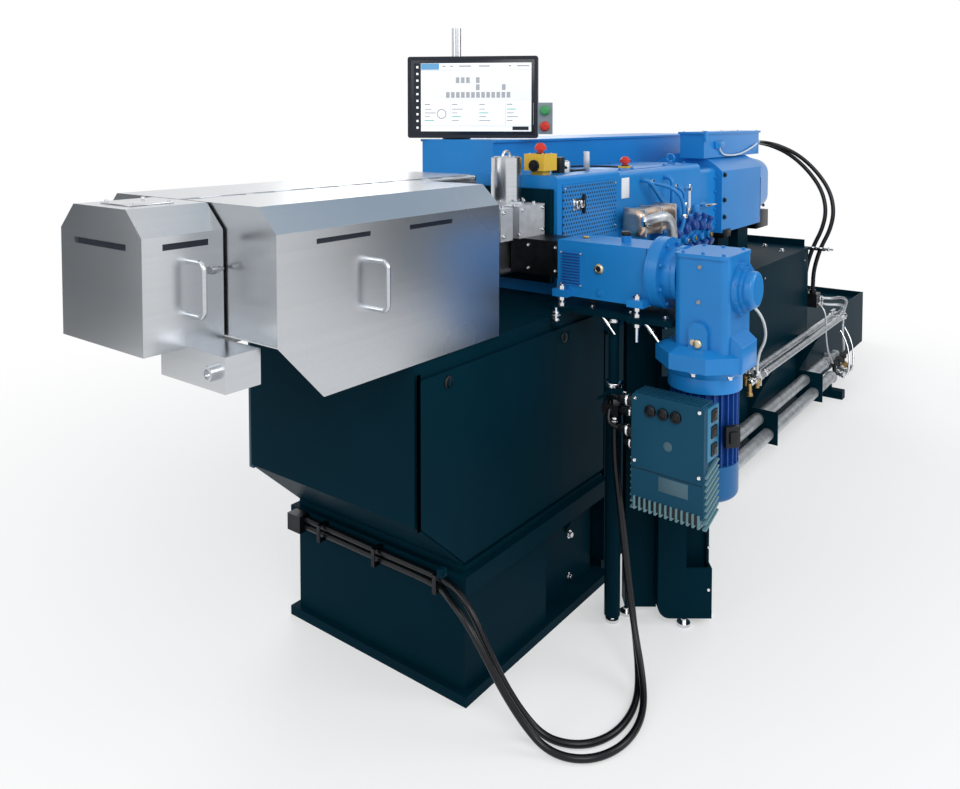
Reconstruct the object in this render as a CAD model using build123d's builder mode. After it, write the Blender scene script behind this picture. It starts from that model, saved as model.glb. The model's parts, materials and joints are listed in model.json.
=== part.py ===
from build123d import *
import os
from math import atan2, cos, pi, radians, sin, tan

# Plastic extruder: a twin-screw machine with two hinged hoods, a side feeder and a drive train.
# Millimetres. X runs along the screws from the discharge end to the drive end, and Z is up.
# The origin is on the floor below the crossing of the screw axis and the side feeder's axis.

os.makedirs("parts", exist_ok=True)

# Lines that the whole machine follows
screw_height = 1180
half_width = 350
overrun = 40

# Sheet and fit
sheet = 4
seam = 6
fit = 0.4

# Pedestal under the front cabinet
pedestal_front = -655
pedestal_length = 790
pedestal_height = 390
plinth_height = 30
plinth_lip = 22
rim_height = 58
rim_drop = 18
rim_lip = 20
service_recess_length = 385
service_recess_depth = 45
gusset_length = 90
gusset_thickness = 10

# Front cabinet
cabinet_overhang = 200
cabinet_top = 1014
cabinet_half_width = 340
chin_height = 576
panel_margin = 10
panel_top_margin = 47
panel_lower_margin = 12
lock_radius = 13
lock_height = 6
lock_drop = 33
lock_inset = 118

# Barrel and its supports
barrel_half_width = 85
barrel_half_height = 75
barrel_module_length = 190
barrel_flange_length = 26
barrel_flange_proud = 14
barrel_front = -1307
support_length = 70
support_half_width = 60
support_share = 0.3
support_modules = (3, 5)

# Die head, cover floor and discharge cover
die_length = 90
die_half_width = 55
die_half_height = 62
cover_length = 200
cover_half_width = 170
cover_flat_half = 110
cover_shoulder = 1402
cover_bottom = 1155
cover_slot_height = 14
cover_end_slot_width = 217
cover_side_slot_length = 113
cover_side_slot_inset = 48
cover_slot_level = 1378
floor_thickness = 5

# Lower box with its sight fitting, hung under the cover floor
lower_box_length = 92
lower_box_near = 300
lower_box_height = 80
sight_radius = 17
sight_bore = 11
sight_length = 16
sight_inset = 42

# Hoods
hood_front = -1307
near_hood_length = 817
far_hood_length = 1152
hood_top = 1460
hood_flat_half = 290
hood_shoulder = 1403
hood_bottom = 1015
hood_front_bottom = 1157
hood_cut_length = 134
hood_notch_half = 160
hood_notch_top = 1400
hood_slot_height = 12
hood_slot_level = 1370
hood_slot_length = 172
hood_slot_start = 114
hood_slot_step = 314
hood_edge_gap = 18

# Hood hinge on the spine
hinge_offset = 9
hinge_drop = 8
pin_radius = 4
knuckle_radius = 7
knuckle_length = 60
leaf_drop = 1
leaf_thickness = 3
knuckle_spacing = 230
knuckle_first = 60
lug_length = 26
lug_clearance = 5
spine_half_width = 18
spine_height = 12
portal_tube = 40
portal_half_span = 285
portal_front = -835
portal_step = 290

# Bow handles
handle_hole_spacing = 120
handle_standoff = 52
handle_rod = 12
handle_corner = 18
handle_level = 1250
near_handle_offset = 292
cover_handle_offset = 114
cover_handle_level = 1280

# Feed barrel between the hoods and the lantern
feed_barrel_front = -205
feed_barrel_length = 270
feed_half_width = 150
feed_top = 1351
feed_gap_start = 70
feed_gap_length = 40
feed_gap_depth = 60
feed_cylinder_radius = 55
feed_cylinder_height = 165
feed_cylinder_x = -5
feed_cylinder_y = -30
feed_rim = 5
ring_radius = 22
ring_wire = 5
shield_front = 74
shield_thickness = 22
shield_half_width = 170
shield_bottom = 1060
shield_top = 1400

# Lantern, gearbox and main motor
lantern_length = 474
lantern_half_width = 185
lantern_top = 1447
lantern_corner = 14
lantern_window_margin = 34
lantern_cover_inset = 14
gearbox_length = 830
gearbox_half_width = 185
gearbox_top = 1440
gearbox_bottom = 980
gearbox_joint_height = 1190
gearbox_joint_lip = 10
gearbox_joint_thickness = 36
gearbox_corner = 26
coupling_half_width = 172
coupling_drop = 30
motor_front = 1630
motor_length = 580
motor_half_width = 205
motor_crown = 1478
motor_shoulder = 1392
motor_bottom = 1078
motor_corner = 40
motor_bell_length = 250
motor_bell_taper = 26
motor_bell_step = 15
motor_bell_lift = 32
console_length = 150
console_half_width = 190
console_web = 30
console_gap = 101

# Terminal box on the main motor
terminal_length = 815
terminal_overhang = 50
terminal_near = -128
terminal_far = 0
terminal_top = 1590
terminal_lid = 12
terminal_lid_lip = 8
terminal_saddle = 22
gland_radius = 22
gland_length = 45
gland_spacing = 48
gland_inset = 30
gland_drop = 92

# Base frame with its deck, and the low rear box
base_end = 2639
base_height = 900
deck_thickness = 14
deck_lip = 10
rear_lip_height = 40
rear_lip_thickness = 6
base_plinth = 60
base_plinth_inset = 25
rear_box_length = 1546
rear_box_near = 316
rear_box_height = 370
rear_box_wall = 12
rear_box_recess = 40

# Long cable duct and its posts
duct_front = 240
duct_length = 2145
duct_near = 200
duct_far = 596
duct_bottom = 1424
duct_height = 145
duct_fold = 10
duct_post = 60
duct_post_first = 190
duct_post_step = 830
duct_arm_height = 50

# Operator screen on a swivelling post
post_x = 392
post_y = 520
post_radius = 21
post_top = 2050
post_lift = 1
foot_radius = 62
foot_height = 26
foot_bore_clearance = 0.5
screen_width = 555
screen_height = 345
screen_depth = 48
screen_corner = 10
screen_yaw = -60
screen_offset = 125
screen_side_shift = 86
screen_level = 1747
screen_bezel = 14
screen_recess = 3
screen_arm_half = 34
button_box_width = 60
button_box_height = 132
button_box_depth = 62
button_box_drop = 34
button_radius = 16
button_length = 20

# Stop buttons
stop_box_x = 110
stop_box_y = -74
stop_box_length = 88
stop_box_width = 88
stop_box_height = 62
stop_box_lift = 16
stop_box_inset = 18
stop_knob_radius = 22
stop_knob_height = 26
stop_stem_radius = 12
stop_stem_height = 14
second_stop_x = 800
second_stop_y = -90
second_stop_height = 12

# Oil unit on the near side of the gearbox
pump_y = -262
pump_level = 1241
pump_front = 532
pump_length = 330
pump_depth = 100
pump_height = 112
pump_corner = 38
pump_end_round = 24
pump_bracket_share = 0.35
manifold_x = 860
manifold_length = 430
manifold_width = 80
manifold_bottom = 1090
manifold_height = 70
manifold_port_radius = 20
manifold_port_height = 60
manifold_port_step = 86
manifold_ports = 5
oil_pipe_radius = 9
oil_pipe_top = 1396
oil_pipe_bend = 26
oil_pipe_reach = 143
oil_pipe_shoulder = 1290

# Side feeder
feeder_barrel_half = 72
feeder_barrel_height = 120
feeder_barrel_level = 1180
feeder_start = 300
feeder_housing_length = 330
feeder_housing_half = 85
feeder_housing_bottom = 1065
feeder_housing_top = 1250
feeder_foot_lip = 34
feeder_foot_height = 24
feeder_cap_radius = 16
feeder_cap_inset = 119
feeder_cap_height = 22
louvre_margin = 16
louvre_share = 0.23
louvre_height = 112
feeder_foot_length = 56
feeder_foot_bore = 7.5
louvre_depth = 4
adapter_length = 92
adapter_flange = 40
adapter_flange_radius = 114
adapter_neck_radius = 84
adapter_rear_radius = 92
adapter_rear_flange = 14
adapter_level = 1165
bevel_length = 172
bevel_half = 100
bevel_top = 1250
bevel_bottom = 952
bevel_corner = 24
bevel_lid = 12
bevel_boss_radius = 29
bevel_boss_length = 16
bevel_boss_top = 1048
rear_cover_length = 170
rear_cover_width = 80
rear_cover_low = 1028
rear_cover_height = 86
skirt_lug_length = 130
skirt_lug_reach = 34
skirt_lug_top = 1012
skirt_lug_shoulder = 984
drive_axis_x = -13
drive_axis_inset = 68
skirt_radius = 150
skirt_sides = 8
skirt_low = 905
skirt_high = 952
skirt_slope = 18
neck_radius = 112
neck_top = 880
cap_flange_radius = 80
cap_flange_length = 16
cap_ring_radius = 68
cap_ring_length = 10
cap_radius = 56
cap_length = 28
cap_level = 1144
cap_round = 12

# Feeder motor and its inverter box
small_motor_radius = 89
fin_height = 14
fin_count = 28
fin_thickness = 4
feeder_motor_top = 850
feeder_motor_body = 224
feeder_motor_flange = 14
feeder_motor_cap = 112
feeder_motor_cap_radius = 104
feeder_motor_cap_round = 22
inverter_width = 232
inverter_height = 327
inverter_depth = 84
inverter_pad = 110
inverter_bottom = 505
inverter_yaw = -2
inverter_face_x = -216
inverter_y = -758
inverter_corner = 12
inverter_lid = 30
inverter_lid_inset = 6
rib_count = 13
rib_width = 7
rib_depth = 26
rib_pitch = 17

# Feeder stand, carriage, rods and struts
stand_near_x = 113
stand_near_y = -772
stand_turn = 37
stand_width = 272
stand_fold = 168
stand_depth = 130
stand_wall = 8
stand_bottom = 22
stand_step = 66
stand_corner_length = 40
stand_window_low = 190
stand_window_height = 170
stand_window_width = 92
foot_pad_radius = 22
foot_stem_radius = 9
foot_pad_height = 10
carriage_half = 98
carriage_far = -262
carriage_thickness = 18
rod_radius = 7
nut_radius = 13
nut_height = 12
rod_low = 955
rod_high = 1106
guide_x = -60
guide_y = -500
guide_radius = 17
guide_length = 260
guide_tube_radius = 26
clamp_radius = 32
clamp_height = 34
lever_length = 70
lever_radius = 5
strut_radius = 8
strut_rod_radius = 5
strut_body_share = 0.6
strut_reach = 44
strut_drop = 52
strut_nut_share = 0.16
strut_x = -88
strut_first_y = -474
strut_second_y = -626

# Pipes along the near side of the base
lower_pipe_radius = 30
lower_pipe_level = 97
lower_pipe_y = -450
lower_pipe_shift = 50
lower_pipe_rise = 67
lower_pipe_start = 1000
lower_pipe_end = 2790
upper_pipe_radius = 16
upper_pipe_level = 420
upper_pipe_y = -450
upper_pipe_gap = 54
upper_pipe_start = 1540
upper_pipe_end = 3030
bracket_length = 44
bracket_thickness = 8
bracket_margin = 18
bracket_places = (1060, 1640, 2430)
floor_foot_x = 2700
floor_foot_length = 60
floor_foot_width = 190
floor_foot_height = 48

# Valves on the pipes
valve_half = 21
valve_length = 54
valve_stem_radius = 6
valve_stem_height = 12
valve_lever_length = 80
valve_lever_width = 14
valve_lever_thickness = 4
spout_radius = 9
spout_length = 46
pipe_cap_lip = 5
pipe_cap_length = 14
elbow_half = 16
elbow_length = 30
barb_height = 29
base_nipple_place = (1370, 800)
rear_nipple_place = (3164, 130)
nipple_radius = 12
nipple_length = 30
manifold_tube_radius = 17
manifold_tube_length = 330
manifold_valve_places = (60, 160, 260)
row_valve_half = 27
row_valve_length = 46

# Fittings of the feeder's cables
gland_box_x = -153
gland_box_y = -555
gland_box_length = 68
gland_box_width = 56
gland_box_bottom = 735
gland_box_height = 34
gland_arm_y = -525
gland_arm_width = 30
gland_arm_height = 15
cable_gland_radius = 13
cable_gland_length = 35
feeder_gland_a = (-140, -548)
feeder_gland_b = (-168, -562)
staple_level = 342.5
staple_height = 55
staple_reach = 40
staple_width = 14
staple_count = 3
staple_first = -280
staple_spacing = 240
end_box_y = 280
end_box_length = 60

# Fittings of the rear hoses, their bores measured from the base frame's end
hose_box_y = -347
hose_box_length = 80
hose_box_width = 110
hose_box_bottom = 540
hose_box_height = 80
hose_gland_a = (33, -370)
hose_gland_b = (37, -324)
hose_gland_radius = 18
hose_gland_length = 20
clamp_plate_y = -380
clamp_plate_length = 66
clamp_plate_width = 120
clamp_plate_level = 880
clamp_plate_thickness = 10
clamp_hole_a = (35, -409)
clamp_hole_b = (40, -363)
clamp_hole_radius = 20

# Routes of the cables and hoses
arc_share = 0.45
cable_diameter = 20
hose_diameter = 24
drain_diameter = 14
feeder_cable_a = [
    (-140, -548, 700), (-140, -548, 600), (-147, -568, 482), (-160, -594, 352), (-182, -624, 222),
    (-220, -662, 112), (-278, -704, 42), (-350, -739, 13), (-436, -760, 11), (-522, -758, 11),
    (-592, -728, 11), (-634, -676, 11), (-650, -612, 14), (-664, -556, 60), (-690, -512, 140),
    (-710, -470, 232), (-712, -424, 310), (-702, -362, 348), (-691, -296, 354.5), (-688, -172, 352.5),
    (-688, -36, 352), (-688, 122, 354), (-688, 280, 354),
]
feeder_cable_b = [
    (-168, -562, 700), (-168, -562, 604), (-176, -583, 485), (-188, -606, 356), (-210, -636, 228),
    (-246, -676, 122), (-300, -726, 50), (-372, -770, 15), (-458, -796, 11), (-548, -796, 11),
    (-624, -766, 11), (-672, -710, 11), (-688, -640, 16), (-700, -580, 66), (-724, -532, 146),
    (-742, -482, 238), (-744, -426, 304), (-726, -358, 328), (-694, -292, 331.5), (-688, -168, 329.5),
    (-688, -34, 329), (-688, 124, 331), (-688, 280, 331),
]
rear_hose_a = [
    (2440, -98, 1520), (2548, -98, 1520), (2650, -166, 1498), (2718, -264, 1440), (2745, -360, 1345),
    (2740, -440, 1232), (2718, -472, 1112), (2694, -456, 1000), (2675, -412, 900), (2668, -384, 800),
    (2672, -370, 720), (2672, -370, 640),
]
rear_hose_b = [
    (2440, -50, 1520), (2544, -50, 1520), (2646, -116, 1500), (2714, -214, 1443), (2744, -312, 1348),
    (2740, -394, 1234), (2718, -428, 1114), (2696, -412, 1004), (2680, -368, 902), (2674, -338, 802),
    (2676, -324, 722), (2676, -324, 640),
]
drain_route = [
    (1370, -380, 800), (1370, -434, 800), (1388, -480, 764), (1430, -498, 694), (1472, -490, 610),
    (1471, -450, 526), (1471, -450, 449),
]
return_route = [
    (3057, -450, 374), (3057, -450, 300), (3078, -454, 228), (3120, -442, 166), (3164, -400, 130),
    (3164, -346, 130),
]

# Places worked out from the values above
pedestal_end = pedestal_front + pedestal_length
cabinet_front = pedestal_front - cabinet_overhang
cabinet_end = pedestal_end + plinth_lip
far_hood_end = hood_front + far_hood_length
cover_end = hood_front - seam
feed_bottom = feeder_barrel_level + feeder_barrel_height / 2
lantern_bottom = cabinet_top
carriage_height = cabinet_top
cover_front = cover_end - cover_length
lantern_front = shield_front + shield_thickness
lantern_end = lantern_front + lantern_length
gearbox_end = lantern_end + gearbox_length
motor_end = motor_front + motor_length
hinge_height = hood_top - hinge_drop
feeder_housing_end = feeder_start + feeder_housing_length
adapter_end = feeder_housing_end + adapter_length
bevel_end = adapter_end + bevel_length
bevel_middle = adapter_end + bevel_length / 2
drive_axis_y = -(adapter_end + drive_axis_inset)
half_side = 180 / skirt_sides
carriage_near = -adapter_end + seam
duct_top = duct_bottom + duct_height


def keep(part, name):
    """Label a finished piece and write it to its own file."""
    part.label = name
    export_step(part, f"parts/{name}.step")


# Pedestal: a welded box with a plinth, a rim that hides the cables and a recess for the feet bolts
with BuildPart() as pedestal:
    pedestal_middle = (pedestal_front + pedestal_end) / 2
    with BuildSketch() as footprint:
        with Locations((pedestal_middle, 0)):
            Rectangle(pedestal_length, 2 * half_width)
    extrude(amount=pedestal_height)
    with BuildSketch() as plinth_outline:
        with Locations((pedestal_middle, 0)):
            Rectangle(pedestal_length + 2 * plinth_lip, 2 * (half_width + plinth_lip))
    extrude(amount=plinth_height)
    with BuildSketch(Plane.XY.offset(pedestal_height - rim_drop - rim_height)) as rim_outline:
        with Locations((pedestal_middle, 0)):
            Rectangle(pedestal_length + 2 * rim_lip, 2 * (half_width + rim_lip))
    extrude(amount=rim_height)
    recess_middle = pedestal_end + rim_lip - service_recess_length / 2
    recess_z = plinth_height
    recess_height = pedestal_height - rim_drop - rim_height - plinth_height
    with BuildSketch(Plane.XY.offset(recess_z)) as recess_outline:
        with Locations((recess_middle, -half_width), (recess_middle, half_width)):
            Rectangle(service_recess_length, 2 * service_recess_depth)
    extrude(amount=recess_height, mode=Mode.SUBTRACT)
    # Triangular gussets stand in the recess under the rim
    for side in (-1, 1):
        web_y = side * (half_width - service_recess_depth)
        with BuildSketch(Plane.YZ.offset(recess_middle)) as gusset:
            with BuildLine():
                Polyline(
                    (web_y, recess_z + recess_height),
                    (side * half_width, recess_z + recess_height),
                    (web_y, recess_z + recess_height - gusset_length),
                    close=True,
                )
            make_face()
        extrude(amount=gusset_thickness)
keep(pedestal.part, "pedestal")

# Front cabinet: its chin slopes back to the pedestal below the overhang
with BuildPart() as front_cabinet:
    with BuildSketch(Plane.XZ) as cabinet_side:
        with BuildLine():
            Polyline(
                (cabinet_front, chin_height),
                (pedestal_front, pedestal_height),
                (cabinet_end, pedestal_height),
                (cabinet_end, cabinet_top),
                (cabinet_front, cabinet_top),
                close=True,
            )
        make_face()
    extrude(amount=cabinet_half_width, both=True)
keep(front_cabinet.part, "front_cabinet")

# Lift-off side panels follow the cabinet's outline, each with two quarter-turn locks
panel_thickness = half_width - cabinet_half_width
panel_front = cabinet_front + panel_margin
panel_end = cabinet_end - panel_margin
panel_top = cabinet_top - panel_top_margin
with BuildPart() as side_panels:
    for side in (-1, 1):
        panel_plane = Plane.XZ.offset(half_width) if side < 0 else Plane.XZ.offset(-cabinet_half_width)
        with BuildSketch(panel_plane) as panel_side:
            with BuildLine():
                Polyline(
                    (panel_front, chin_height),
                    (pedestal_front, pedestal_height + panel_lower_margin),
                    (panel_end, pedestal_height + panel_lower_margin),
                    (panel_end, panel_top),
                    (panel_front, panel_top),
                    close=True,
                )
            make_face()
        extrude(amount=-panel_thickness)
        lock_plane = Plane.XZ.offset(half_width) if side < 0 else Plane.XZ.offset(-half_width)
        with BuildSketch(lock_plane) as locks:
            with Locations(
                (panel_front + lock_inset, panel_top - lock_drop),
                (panel_end - 2 * lock_inset, panel_top - lock_drop),
            ):
                Circle(lock_radius)
        extrude(amount=lock_height * -side)
keep(side_panels.part, "side_panels")

# Barrel: cooled blocks bolted end to end, each with a flange at its rear
barrel_rear = lantern_front - shield_thickness
barrel_length = barrel_rear - barrel_front
module_count = round(barrel_length / barrel_module_length)
module_step = barrel_length / module_count
with BuildPart() as barrel:
    with BuildSketch(Plane.YZ.offset(barrel_front)) as barrel_section:
        with Locations((0, screw_height)):
            RectangleRounded(2 * barrel_half_width, 2 * barrel_half_height, barrel_flange_proud)
    extrude(amount=barrel_length)
    for module in range(1, module_count - 1):
        flange_x = barrel_front + module * module_step - barrel_flange_length / 2
        with BuildSketch(Plane.YZ.offset(flange_x)) as flange_section:
            with Locations((0, screw_height)):
                Rectangle(
                    2 * (barrel_half_width + barrel_flange_proud),
                    2 * (barrel_half_height + barrel_flange_proud),
                )
        extrude(amount=barrel_flange_length)
keep(barrel.part, "barrel")

# Two saddles carry the barrel on the cabinet's top
with BuildPart() as barrel_supports:
    for module in support_modules:
        saddle_x = barrel_front + (module + support_share) * module_step
        with BuildSketch(Plane.XY.offset(cabinet_top)) as saddle:
            with Locations((saddle_x, 0)):
                Rectangle(support_length, 2 * support_half_width)
        extrude(amount=screw_height - barrel_half_height - cabinet_top)
keep(barrel_supports.part, "barrel_supports")

# Die head at the barrel's front
die_front = barrel_front - die_length
with BuildPart() as die_head:
    with BuildSketch(Plane.YZ.offset(die_front)) as die_section:
        with Locations((0, screw_height)):
            Rectangle(2 * die_half_width, 2 * die_half_height)
    extrude(amount=die_length)
    chamfer(die_head.faces().sort_by(Axis.X)[0].edges(), length=seam)
keep(die_head.part, "die_head")

# Floor of the discharge cover, notched round the die head
with BuildPart() as cover_floor:
    with BuildSketch(Plane.XY.offset(cover_bottom - floor_thickness)) as floor_outline:
        with Locations(((cover_front + cover_end) / 2, 0)):
            Rectangle(cover_length, 2 * cover_half_width)
        with Locations(((die_front + cover_end) / 2 + overrun / 2, 0)):
            Rectangle(cover_end - die_front + overrun, 2 * die_half_width, mode=Mode.SUBTRACT)
    extrude(amount=floor_thickness)
keep(cover_floor.part, "cover_floor")


def cover_points(half, flat, top, shoulder, bottom, inset, drop):
    """Closed outline of a folded cover across the machine, moved inwards by one sheet."""
    slope = atan2(top - shoulder, half - flat)
    flat_in = flat - inset * tan(slope / 2)
    shoulder_in = shoulder - inset * tan((radians(90) - slope) / 2)
    edge = half - inset
    low = bottom - drop
    return [
        (-edge, low),
        (-edge, shoulder_in),
        (-flat_in, top - inset),
        (flat_in, top - inset),
        (edge, shoulder_in),
        (edge, low),
    ]


# Discharge cover: folded sheet, closed at the front and open below and behind
with BuildPart() as discharge_cover:
    cover_sizes = (cover_half_width, cover_flat_half, hood_top, cover_shoulder, cover_bottom)
    with BuildSketch(Plane.YZ.offset(cover_front)) as cover_section:
        with BuildLine():
            Polyline(*cover_points(*cover_sizes, 0, 0), close=True)
        make_face()
    extrude(amount=cover_length)
    with BuildSketch(Plane.YZ.offset(cover_front + sheet)) as cover_inside:
        with BuildLine():
            Polyline(*cover_points(*cover_sizes, sheet, overrun), close=True)
        make_face()
    extrude(amount=cover_length, mode=Mode.SUBTRACT)
    with BuildSketch(Plane.YZ.offset(cover_front - sheet)) as end_slot:
        with Locations((0, cover_slot_level)):
            Rectangle(cover_end_slot_width, cover_slot_height)
    extrude(amount=3 * sheet, mode=Mode.SUBTRACT)
    slot_middle = cover_front + cover_side_slot_inset + cover_side_slot_length / 2
    with BuildSketch(Plane.XZ) as side_slot:
        with Locations((slot_middle, cover_slot_level)):
            Rectangle(cover_side_slot_length, cover_slot_height)
    extrude(amount=cover_half_width + overrun, both=True, mode=Mode.SUBTRACT)
keep(discharge_cover.part, "discharge_cover")

# Lower box with its round sight fitting
lower_box_top = cover_bottom - floor_thickness
lower_box_front = cover_end - lower_box_length
lower_box_width = lower_box_near - die_half_width - seam
lower_box_y = -(lower_box_near + die_half_width + seam) / 2
with BuildPart() as lower_box:
    with BuildSketch(Plane.XY.offset(lower_box_top - lower_box_height)) as lower_outline:
        with Locations((lower_box_front + lower_box_length / 2, lower_box_y)):
            Rectangle(lower_box_length, lower_box_width)
    extrude(amount=lower_box_height)
    sight_place = (-lower_box_near + sight_inset, lower_box_top - lower_box_height / 2)
    with BuildSketch(Plane.YZ.offset(lower_box_front - sight_length)) as sight:
        with Locations(sight_place):
            Circle(sight_radius)
    extrude(amount=sight_length)
    with BuildSketch(Plane.YZ.offset(lower_box_front - sight_length)) as sight_well:
        with Locations(sight_place):
            Circle(sight_bore)
    extrude(amount=sight_length / 2, mode=Mode.SUBTRACT)
keep(lower_box.part, "lower_box")


def knuckle_places(length):
    """Where a hood's knuckles start, counted from the hood's front."""
    count = int((length - knuckle_first - knuckle_length) // knuckle_spacing) + 1
    return [hood_front + knuckle_first + step * knuckle_spacing for step in range(count)]


# Hood frame: two portals on the cabinet carry a spine with the hinge pins
spine_bottom = hinge_height - knuckle_radius - lug_clearance - spine_height
spine_top = spine_bottom + spine_height
spine_front = hood_front + sheet + seam
spine_end = far_hood_end - sheet - seam
with BuildPart() as hood_frame:
    for portal in range(2):
        portal_x = portal_front + portal * portal_step
        with BuildSketch(Plane.YZ.offset(portal_x)) as portal_section:
            with BuildLine():
                leg = portal_half_span
                inner_leg = portal_half_span - portal_tube
                Polyline(
                    (-leg, cabinet_top),
                    (-leg, spine_bottom),
                    (leg, spine_bottom),
                    (leg, cabinet_top),
                    (inner_leg, cabinet_top),
                    (inner_leg, spine_bottom - portal_tube),
                    (-inner_leg, spine_bottom - portal_tube),
                    (-inner_leg, cabinet_top),
                    close=True,
                )
            make_face()
        extrude(amount=portal_tube)
    with BuildSketch(Plane.YZ.offset(spine_front)) as spine_section:
        with Locations((0, (spine_bottom + spine_top) / 2)):
            Rectangle(2 * spine_half_width, spine_height)
    extrude(amount=spine_end - spine_front)
    with BuildSketch(Plane.YZ.offset(spine_front)) as pins:
        with Locations((-hinge_offset, hinge_height), (hinge_offset, hinge_height)):
            Circle(pin_radius)
    extrude(amount=spine_end - spine_front)
    # Lugs stand between the knuckles and hold both pins
    for place in knuckle_places(far_hood_length):
        lug_x = place + knuckle_length + (knuckle_spacing - knuckle_length - lug_length) / 2
        lug_height = hinge_height - spine_top
        with BuildSketch(Plane.YZ.offset(lug_x)) as lug:
            with Locations((0, spine_top + lug_height / 2)):
                Rectangle(2 * hinge_offset + 2 * pin_radius, lug_height)
            with Locations((-hinge_offset, hinge_height), (hinge_offset, hinge_height)):
                Circle(knuckle_radius)
        extrude(amount=lug_length)
keep(hood_frame.part, "hood_frame")


def make_hood(side, length, slot_count):
    """A folded hood on one side: top, slope and side, two end sheets, knuckles and slots."""
    slope = atan2(hood_top - hood_shoulder, half_width - hood_flat_half)
    flat_in = hood_flat_half - sheet * tan(slope / 2)
    shoulder_in = hood_shoulder - sheet * tan((radians(90) - slope) / 2)
    edge_in = half_width - sheet
    with BuildPart() as hood:
        with BuildSketch(Plane.YZ.offset(hood_front)) as outside:
            with BuildLine():
                Polyline(
                    (side * hood_edge_gap, hood_top),
                    (side * hood_flat_half, hood_top),
                    (side * half_width, hood_shoulder),
                    (side * half_width, hood_bottom),
                    (side * hood_edge_gap, hood_bottom),
                    close=True,
                )
            make_face()
        extrude(amount=length)
        with BuildSketch(Plane.YZ.offset(hood_front + sheet)) as inside:
            with BuildLine():
                Polyline(
                    (0, hood_top - sheet),
                    (side * flat_in, hood_top - sheet),
                    (side * edge_in, shoulder_in),
                    (side * edge_in, hood_bottom - overrun),
                    (0, hood_bottom - overrun),
                    close=True,
                )
            make_face()
        extrude(amount=length - 2 * sheet, mode=Mode.SUBTRACT)
        # The end sheets are notched round the barrel and the spine
        with BuildSketch(Plane.YZ.offset(hood_front - sheet)) as notch:
            with BuildLine():
                clear = spine_half_width + 2 * seam
                Polyline(
                    (0, hood_bottom - overrun),
                    (side * hood_notch_half, hood_bottom - overrun),
                    (side * hood_notch_half, hood_notch_top),
                    (side * clear, hood_notch_top),
                    (side * clear, hood_top - sheet),
                    (0, hood_top - sheet),
                    close=True,
                )
            make_face()
        extrude(amount=length + 2 * sheet, mode=Mode.SUBTRACT)
        # The lower front corner is cut off on the slant
        with BuildSketch(Plane.XZ) as corner:
            with BuildLine():
                Polyline(
                    (hood_front - overrun, hood_front_bottom),
                    (hood_front, hood_front_bottom),
                    (hood_front + hood_cut_length, hood_bottom),
                    (hood_front + hood_cut_length, hood_bottom - overrun),
                    (hood_front - overrun, hood_bottom - overrun),
                    close=True,
                )
            make_face()
        extrude(amount=half_width + overrun, both=True, mode=Mode.SUBTRACT)
        # Vent slots high in the side
        with BuildSketch(Plane.XZ.offset(-side * edge_in - side * -overrun)) as slots:
            for slot in range(slot_count):
                slot_x = hood_front + hood_slot_start + slot * hood_slot_step
                with Locations((slot_x + hood_slot_length / 2, hood_slot_level + hood_slot_height / 2)):
                    Rectangle(hood_slot_length, hood_slot_height)
        extrude(amount=2 * overrun * -side, mode=Mode.SUBTRACT)
        # Knuckles turn on the pin, each on a leaf of the top sheet
        for place in knuckle_places(length):
            with BuildSketch(Plane.YZ.offset(place)) as knuckle:
                with Locations((side * hinge_offset, hinge_height)):
                    Circle(knuckle_radius)
                leaf_middle = hood_top - leaf_drop - leaf_thickness / 2
                with Locations((side * (hinge_offset + hood_edge_gap) / 2, leaf_middle)):
                    Rectangle(hood_edge_gap - hinge_offset + sheet, leaf_thickness)
            extrude(amount=knuckle_length)
        with BuildSketch(Plane.YZ.offset(hood_front)) as pin_bore:
            with Locations((side * hinge_offset, hinge_height)):
                Circle(pin_radius + fit)
        extrude(amount=length, mode=Mode.SUBTRACT)
    return hood.part


keep(make_hood(-1, near_hood_length, 2), "near_hood")
keep(make_hood(1, far_hood_length, 3), "far_hood")


def bow_handle(x, y, level, side):
    """A bow handle of bent rod that stands upright on a side sheet."""
    reach = y + side * handle_standoff
    low = level - handle_hole_spacing / 2
    high = level + handle_hole_spacing / 2
    with BuildPart() as handle:
        with BuildLine() as bow:
            FilletPolyline(
                (x, y, low), (x, reach, low), (x, reach, high), (x, y, high), radius=handle_corner
            )
        with BuildSketch(Plane(origin=(x, y, low), z_dir=(0, side, 0))) as rod:
            Circle(handle_rod / 2)
        sweep(path=bow.line)
    return handle.part


near_handle_x = hood_front + near_handle_offset
keep(bow_handle(near_handle_x, -half_width, handle_level, -1), "near_hood_handle")
keep(bow_handle(near_handle_x, half_width, handle_level, 1), "far_hood_handle")

cover_handle_x = cover_front + cover_handle_offset
with BuildPart() as cover_handles:
    add(bow_handle(cover_handle_x, -cover_half_width, cover_handle_level, -1))
    add(bow_handle(cover_handle_x, cover_half_width, cover_handle_level, 1))
keep(cover_handles.part, "cover_handles")

# Feed barrel cover: a stainless box over the barrel with a gap where the ports are
feed_end = feed_barrel_front + feed_barrel_length
with BuildPart() as feed_cover:
    with BuildSketch(Plane.XZ) as feed_side:
        with Locations(((feed_barrel_front + feed_end) / 2, (feed_bottom + feed_top) / 2)):
            Rectangle(feed_barrel_length, feed_top - feed_bottom)
    extrude(amount=feed_half_width, both=True)
    with BuildSketch(Plane.XZ.offset(feed_half_width)) as port_gap:
        with Locations(
            (feed_barrel_front + feed_gap_start + feed_gap_length / 2, (feed_bottom + feed_top) / 2)
        ):
            Rectangle(feed_gap_length, feed_top - feed_bottom)
    extrude(amount=-feed_gap_depth, mode=Mode.SUBTRACT)
    with BuildSketch(Plane.YZ.offset(feed_barrel_front)) as barrel_way:
        with Locations((0, screw_height)):
            Rectangle(2 * (barrel_half_width + barrel_flange_proud), 2 * barrel_half_height)
    extrude(amount=feed_barrel_length, mode=Mode.SUBTRACT)
keep(feed_cover.part, "feed_cover")

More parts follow.
